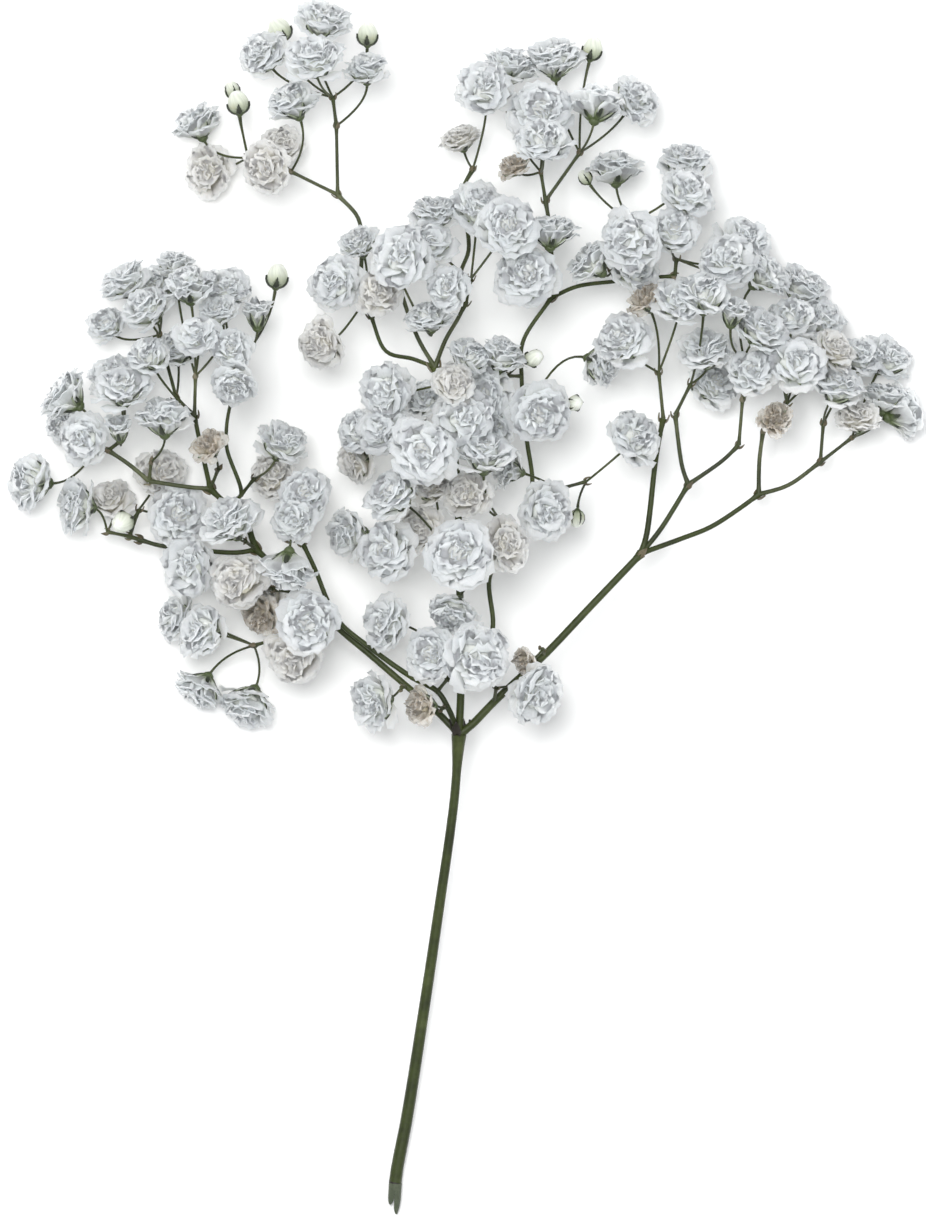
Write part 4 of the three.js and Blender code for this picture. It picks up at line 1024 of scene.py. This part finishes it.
def make_prong(side, length, lean):
    deselect()
    bpy.ops.mesh.primitive_cylinder_add(
        vertices=14, radius=1.12 * MM, depth=length, location=(0, 0, length / 2))
    prong = bpy.context.object
    bpy.ops.object.transform_apply(location=True, rotation=False, scale=False)
    bpy.ops.object.mode_set(mode="EDIT")
    bpy.ops.mesh.select_all(action="SELECT")
    bpy.ops.mesh.bisect(
        plane_co=(side * 0.03 * MM, 0, 0), plane_no=(side, 0, 0), use_fill=True, clear_inner=True)
    for share in (0.25, 0.5, 0.66, 0.8, 0.9):
        bpy.ops.mesh.select_all(action="SELECT")
        bpy.ops.mesh.bisect(plane_co=(0, 0, share * length), plane_no=(0, 0, 1))
    middle = (side * 0.62 * MM, 0, length)
    for share, narrow in ((0.64, 0.94), (0.78, 0.86), (0.88, 0.76), (0.97, 0.5)):
        pick(prong, lambda co: co.z > share * length)
        bpy.ops.transform.resize(value=(narrow, narrow, 1), center_override=middle)
        bpy.ops.transform.translate(value=(side * lean, 0, 0))
    bpy.ops.object.mode_set(mode="OBJECT")
    bpy.ops.object.shade_smooth_by_angle(angle=math.radians(40))
    return prong


prongs = [make_prong(-1, FOOT_LENGTH * 0.70, 0.02 * MM), make_prong(1, FOOT_LENGTH, -0.04 * MM)]
foot_across = foot_way.cross(Vector((0, 0, 1))).normalized() * -1
foot_axes = Matrix((foot_across, foot_way.cross(foot_across), foot_way)).transposed().to_4x4()
foot_pose = Matrix.Translation(foot_end - foot_way * FOOT_LENGTH) @ foot_axes
split_foot = join(prongs, "split_foot")
split_foot.data.transform(foot_pose)
split_foot.data.materials.clear()
split_foot.data.materials.append(cut_pale)
settle(split_foot, "main_stem", slot="stem")
deselect()
bpy.ops.mesh.primitive_cylinder_add(vertices=14, radius=1.1 * MM, depth=0.42 * MM, location=(0, 0, 0))
foot_rim = bpy.context.object
foot_rim.name = "foot_rim"
bpy.ops.object.mode_set(mode="EDIT")
bpy.ops.mesh.select_all(action="SELECT")
bpy.ops.mesh.bevel(offset=0.12 * MM, segments=2)
bpy.ops.transform.rotate(value=math.radians(12), orient_axis="Y", center_override=(0, 0, 0))
bpy.ops.object.mode_set(mode="OBJECT")
bpy.ops.object.shade_smooth_by_angle(angle=math.radians(40))
foot_rim.data.transform(foot_pose)
foot_rim.data.materials.append(rim_dark)
settle(foot_rim, "main_stem", slot="stem")
print("split foot faces:", len(split_foot.data.polygons), "way", [round(c, 2) for c in foot_way])

# %% [markdown]
# A spray is a forked twig that carries its flowers on thread-like stalks. Each head, with its calyx
# under it, is set on its stalk's end and turned the way it faces. A whole spray's petals are joined
# as one piece, and so are its calyxes and its stalks, since they hang on one twig. What would sink
# into the table is pressed flat on it, as the weight of the sprig does to its lowest petals.

# %% Sizes of twigs and stalks
CALYX_OF = {"open": "open", "cream": "open", "half": "half", "bud": "bud", "old": "open"}
TIGHT_BUD = 3.3                 # a bud smaller than this, in mm, is still wrapped in its sepals
PRESSED = 0.3 * MM              # how far up from the table a resting petal is pressed
STALK_BEND = 0.42               # how soon a stalk turns the way that its flower faces
LIMB_RADIUS = 0.34 * MM
TWIG_RADIUS = 0.27 * MM
STALK_RADIUS = 0.2 * MM
spin_draw = random.Random(11)
head_count = 0


def rest_on_table(piece):
    """Lifts what would sink into the table: the lower a point, the more it is pressed flat."""
    for vert in piece.data.vertices:
        if vert.co.z < PRESSED:
            vert.co.z = PRESSED * math.exp(vert.co.z / PRESSED - 1)


print("sprays to grow:", len(SPRAYS))

# %% Grow the sprays
for name, parent, twigs, flowers in SPRAYS:
    local = {"": joints[parent]}
    lines = []
    for letter, (source, *points) in twigs.items():
        path = [local[source]] + [spot(p) for p in points]
        local[letter] = path[-1]
        joints[f"{name}:{letter}"] = path[-1]
        radius = LIMB_RADIUS if letter.isupper() else TWIG_RADIUS
        line = catmull(path, 0.9 * MM)
        lines.append((line, grown_radii(line, radius * 1.1, radius, 1)))
        along = (line[-1] - line[-3]).normalized()
        bract_parts.append((name, bracts_at(line[-1] - along * 0.4 * MM, along, radius * 1.2,
                                            1.25 * MM, f"{name}_bract")))
    petal_parts = []
    calyx_parts = []
    for source, x, y, z, heading, lift, size, kind in flowers:
        turn, rise = math.radians(heading), math.radians(lift)
        facing = Vector((math.cos(turn) * math.cos(rise), math.sin(turn) * math.cos(rise), math.sin(rise)))
        middle = spot((x, y, z))
        scale = size / 2 * MM
        share = 1.24 if kind == "bud" else 0.84
        base = middle - facing * scale * (share - 0.04)
        reach = (base - local[source]).length * STALK_BEND
        line = quadratic(local[source], base - facing * reach, base, 10)
        radii = [STALK_RADIUS * (1 + 0.5 * max(0, (i - 7) / 3) ** 2) for i in range(11)]
        lines.append((line, radii))
        spin = Matrix.Rotation(spin_draw.uniform(0, 2 * math.pi), 4, "Z")
        oval = Matrix.Diagonal((spin_draw.uniform(0.93, 1.09), spin_draw.uniform(0.93, 1.09), 1.04, 1))
        pose = (Matrix.Translation(middle) @ facing.to_track_quat("Z", "Y").to_matrix().to_4x4()
                @ spin @ oval @ Matrix.Scale(scale, 4))
        template = heads[kind][head_count % len(heads[kind])]
        petal_parts.append(copy_at(template, pose, f"{name}_head"))
        wear = "tight" if kind == "bud" and size < TIGHT_BUD else CALYX_OF[kind]
        calyx_parts.append(copy_at(calyxes[wear], pose, f"{name}_calyx"))
        head_count += 1
    twig_stems = stems_to_mesh(f"{name}_twigs", lines, 2, twig_green)
    spray_petals = join(petal_parts, f"{name}_petals")
    spray_calyxes = join(calyx_parts, f"{name}_calyxes")
    for piece, slot in ((twig_stems, "stem"), (spray_petals, "petal"), (spray_calyxes, "calyx")):
        rest_on_table(piece)
        settle(piece, name, slot=slot)
print("heads and buds grown:", head_count)

# %% [markdown]
# The fork scales are all alike and very small, so they end up as one piece.

# %% Gather the bracts
loose = [part for _, parts in bract_parts for part in parts]
all_bracts = join(loose, "fork_bracts")
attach(all_bracts, "root")
print("bracts:", len(loose))

# %% [markdown]
# The petals, heads, calyxes and the scale that everything was copied from aren't part of the sprig,
# so they are taken out of the scene.

# %% Put the patterns away
patterns = petals + [head for group in heads.values() for head in group]
for pattern in patterns + list(calyxes.values()) + [bract]:
    bpy.data.objects.remove(pattern)

# %% [markdown]
# The table is plain and pale, and the light is soft. The strongest lamp hangs close to the line of
# sight, so that it reaches in between the petals. Weaker ones to the left and right give the petals
# some roundness, and the sky gives the rest, slightly cool.

# %% Table
deselect()
bpy.ops.mesh.primitive_plane_add(size=6.0, location=(0, 0, 0))
table = bpy.context.object
table.name = "table_top"
table_paint = new_material("table_pale")[0]
table_shader = table_paint.node_tree.nodes["Principled BSDF"]
table_shader.inputs["Base Color"].default_value = (0.97, 0.97, 0.97, 1)
table_shader.inputs["Roughness"].default_value = 0.9
table_shader.inputs["Specular IOR Level"].default_value = 0.1
table.data.materials.append(table_paint)
print("table side:", table.dimensions.x, "m")

# %% Lamps
def add_lamp(name, place, size, power, colour):
    deselect()
    bpy.ops.object.light_add(type="AREA", location=place)
    lamp = bpy.context.object
    lamp.name = name
    lamp.data.shape = "DISK"
    lamp.data.size = size
    lamp.data.energy = power
    lamp.data.color = colour
    lamp.rotation_euler = (-Vector(place)).to_track_quat("-Z", "Y").to_euler()
    return lamp


add_lamp("lamp_overhead", (-0.10, 0.16, 1.2), 0.45, 13.0, (1.0, 1.0, 0.99))
add_lamp("lamp_upper_left", (-0.6, 0.6, 0.9), 0.9, 4.4, (1.0, 0.99, 0.98))
add_lamp("lamp_right_fill", (0.7, -0.3, 1.0), 0.9, 3.0, (0.98, 0.99, 1.0))

# %% Sky and exposure
sky = bpy.data.worlds.new("soft_sky")
bpy.context.scene.world = sky
sky.use_nodes = True
glow = sky.node_tree.nodes["Background"]
glow.inputs["Color"].default_value = (0.96, 0.98, 1.0, 1)
glow.inputs["Strength"].default_value = 0.56
view = bpy.context.scene.view_settings
view.view_transform = "Standard"
view.gamma = 1.1
view.exposure = -0.25
print("exposure and gamma:", round(view.exposure, 2), round(view.gamma, 2))
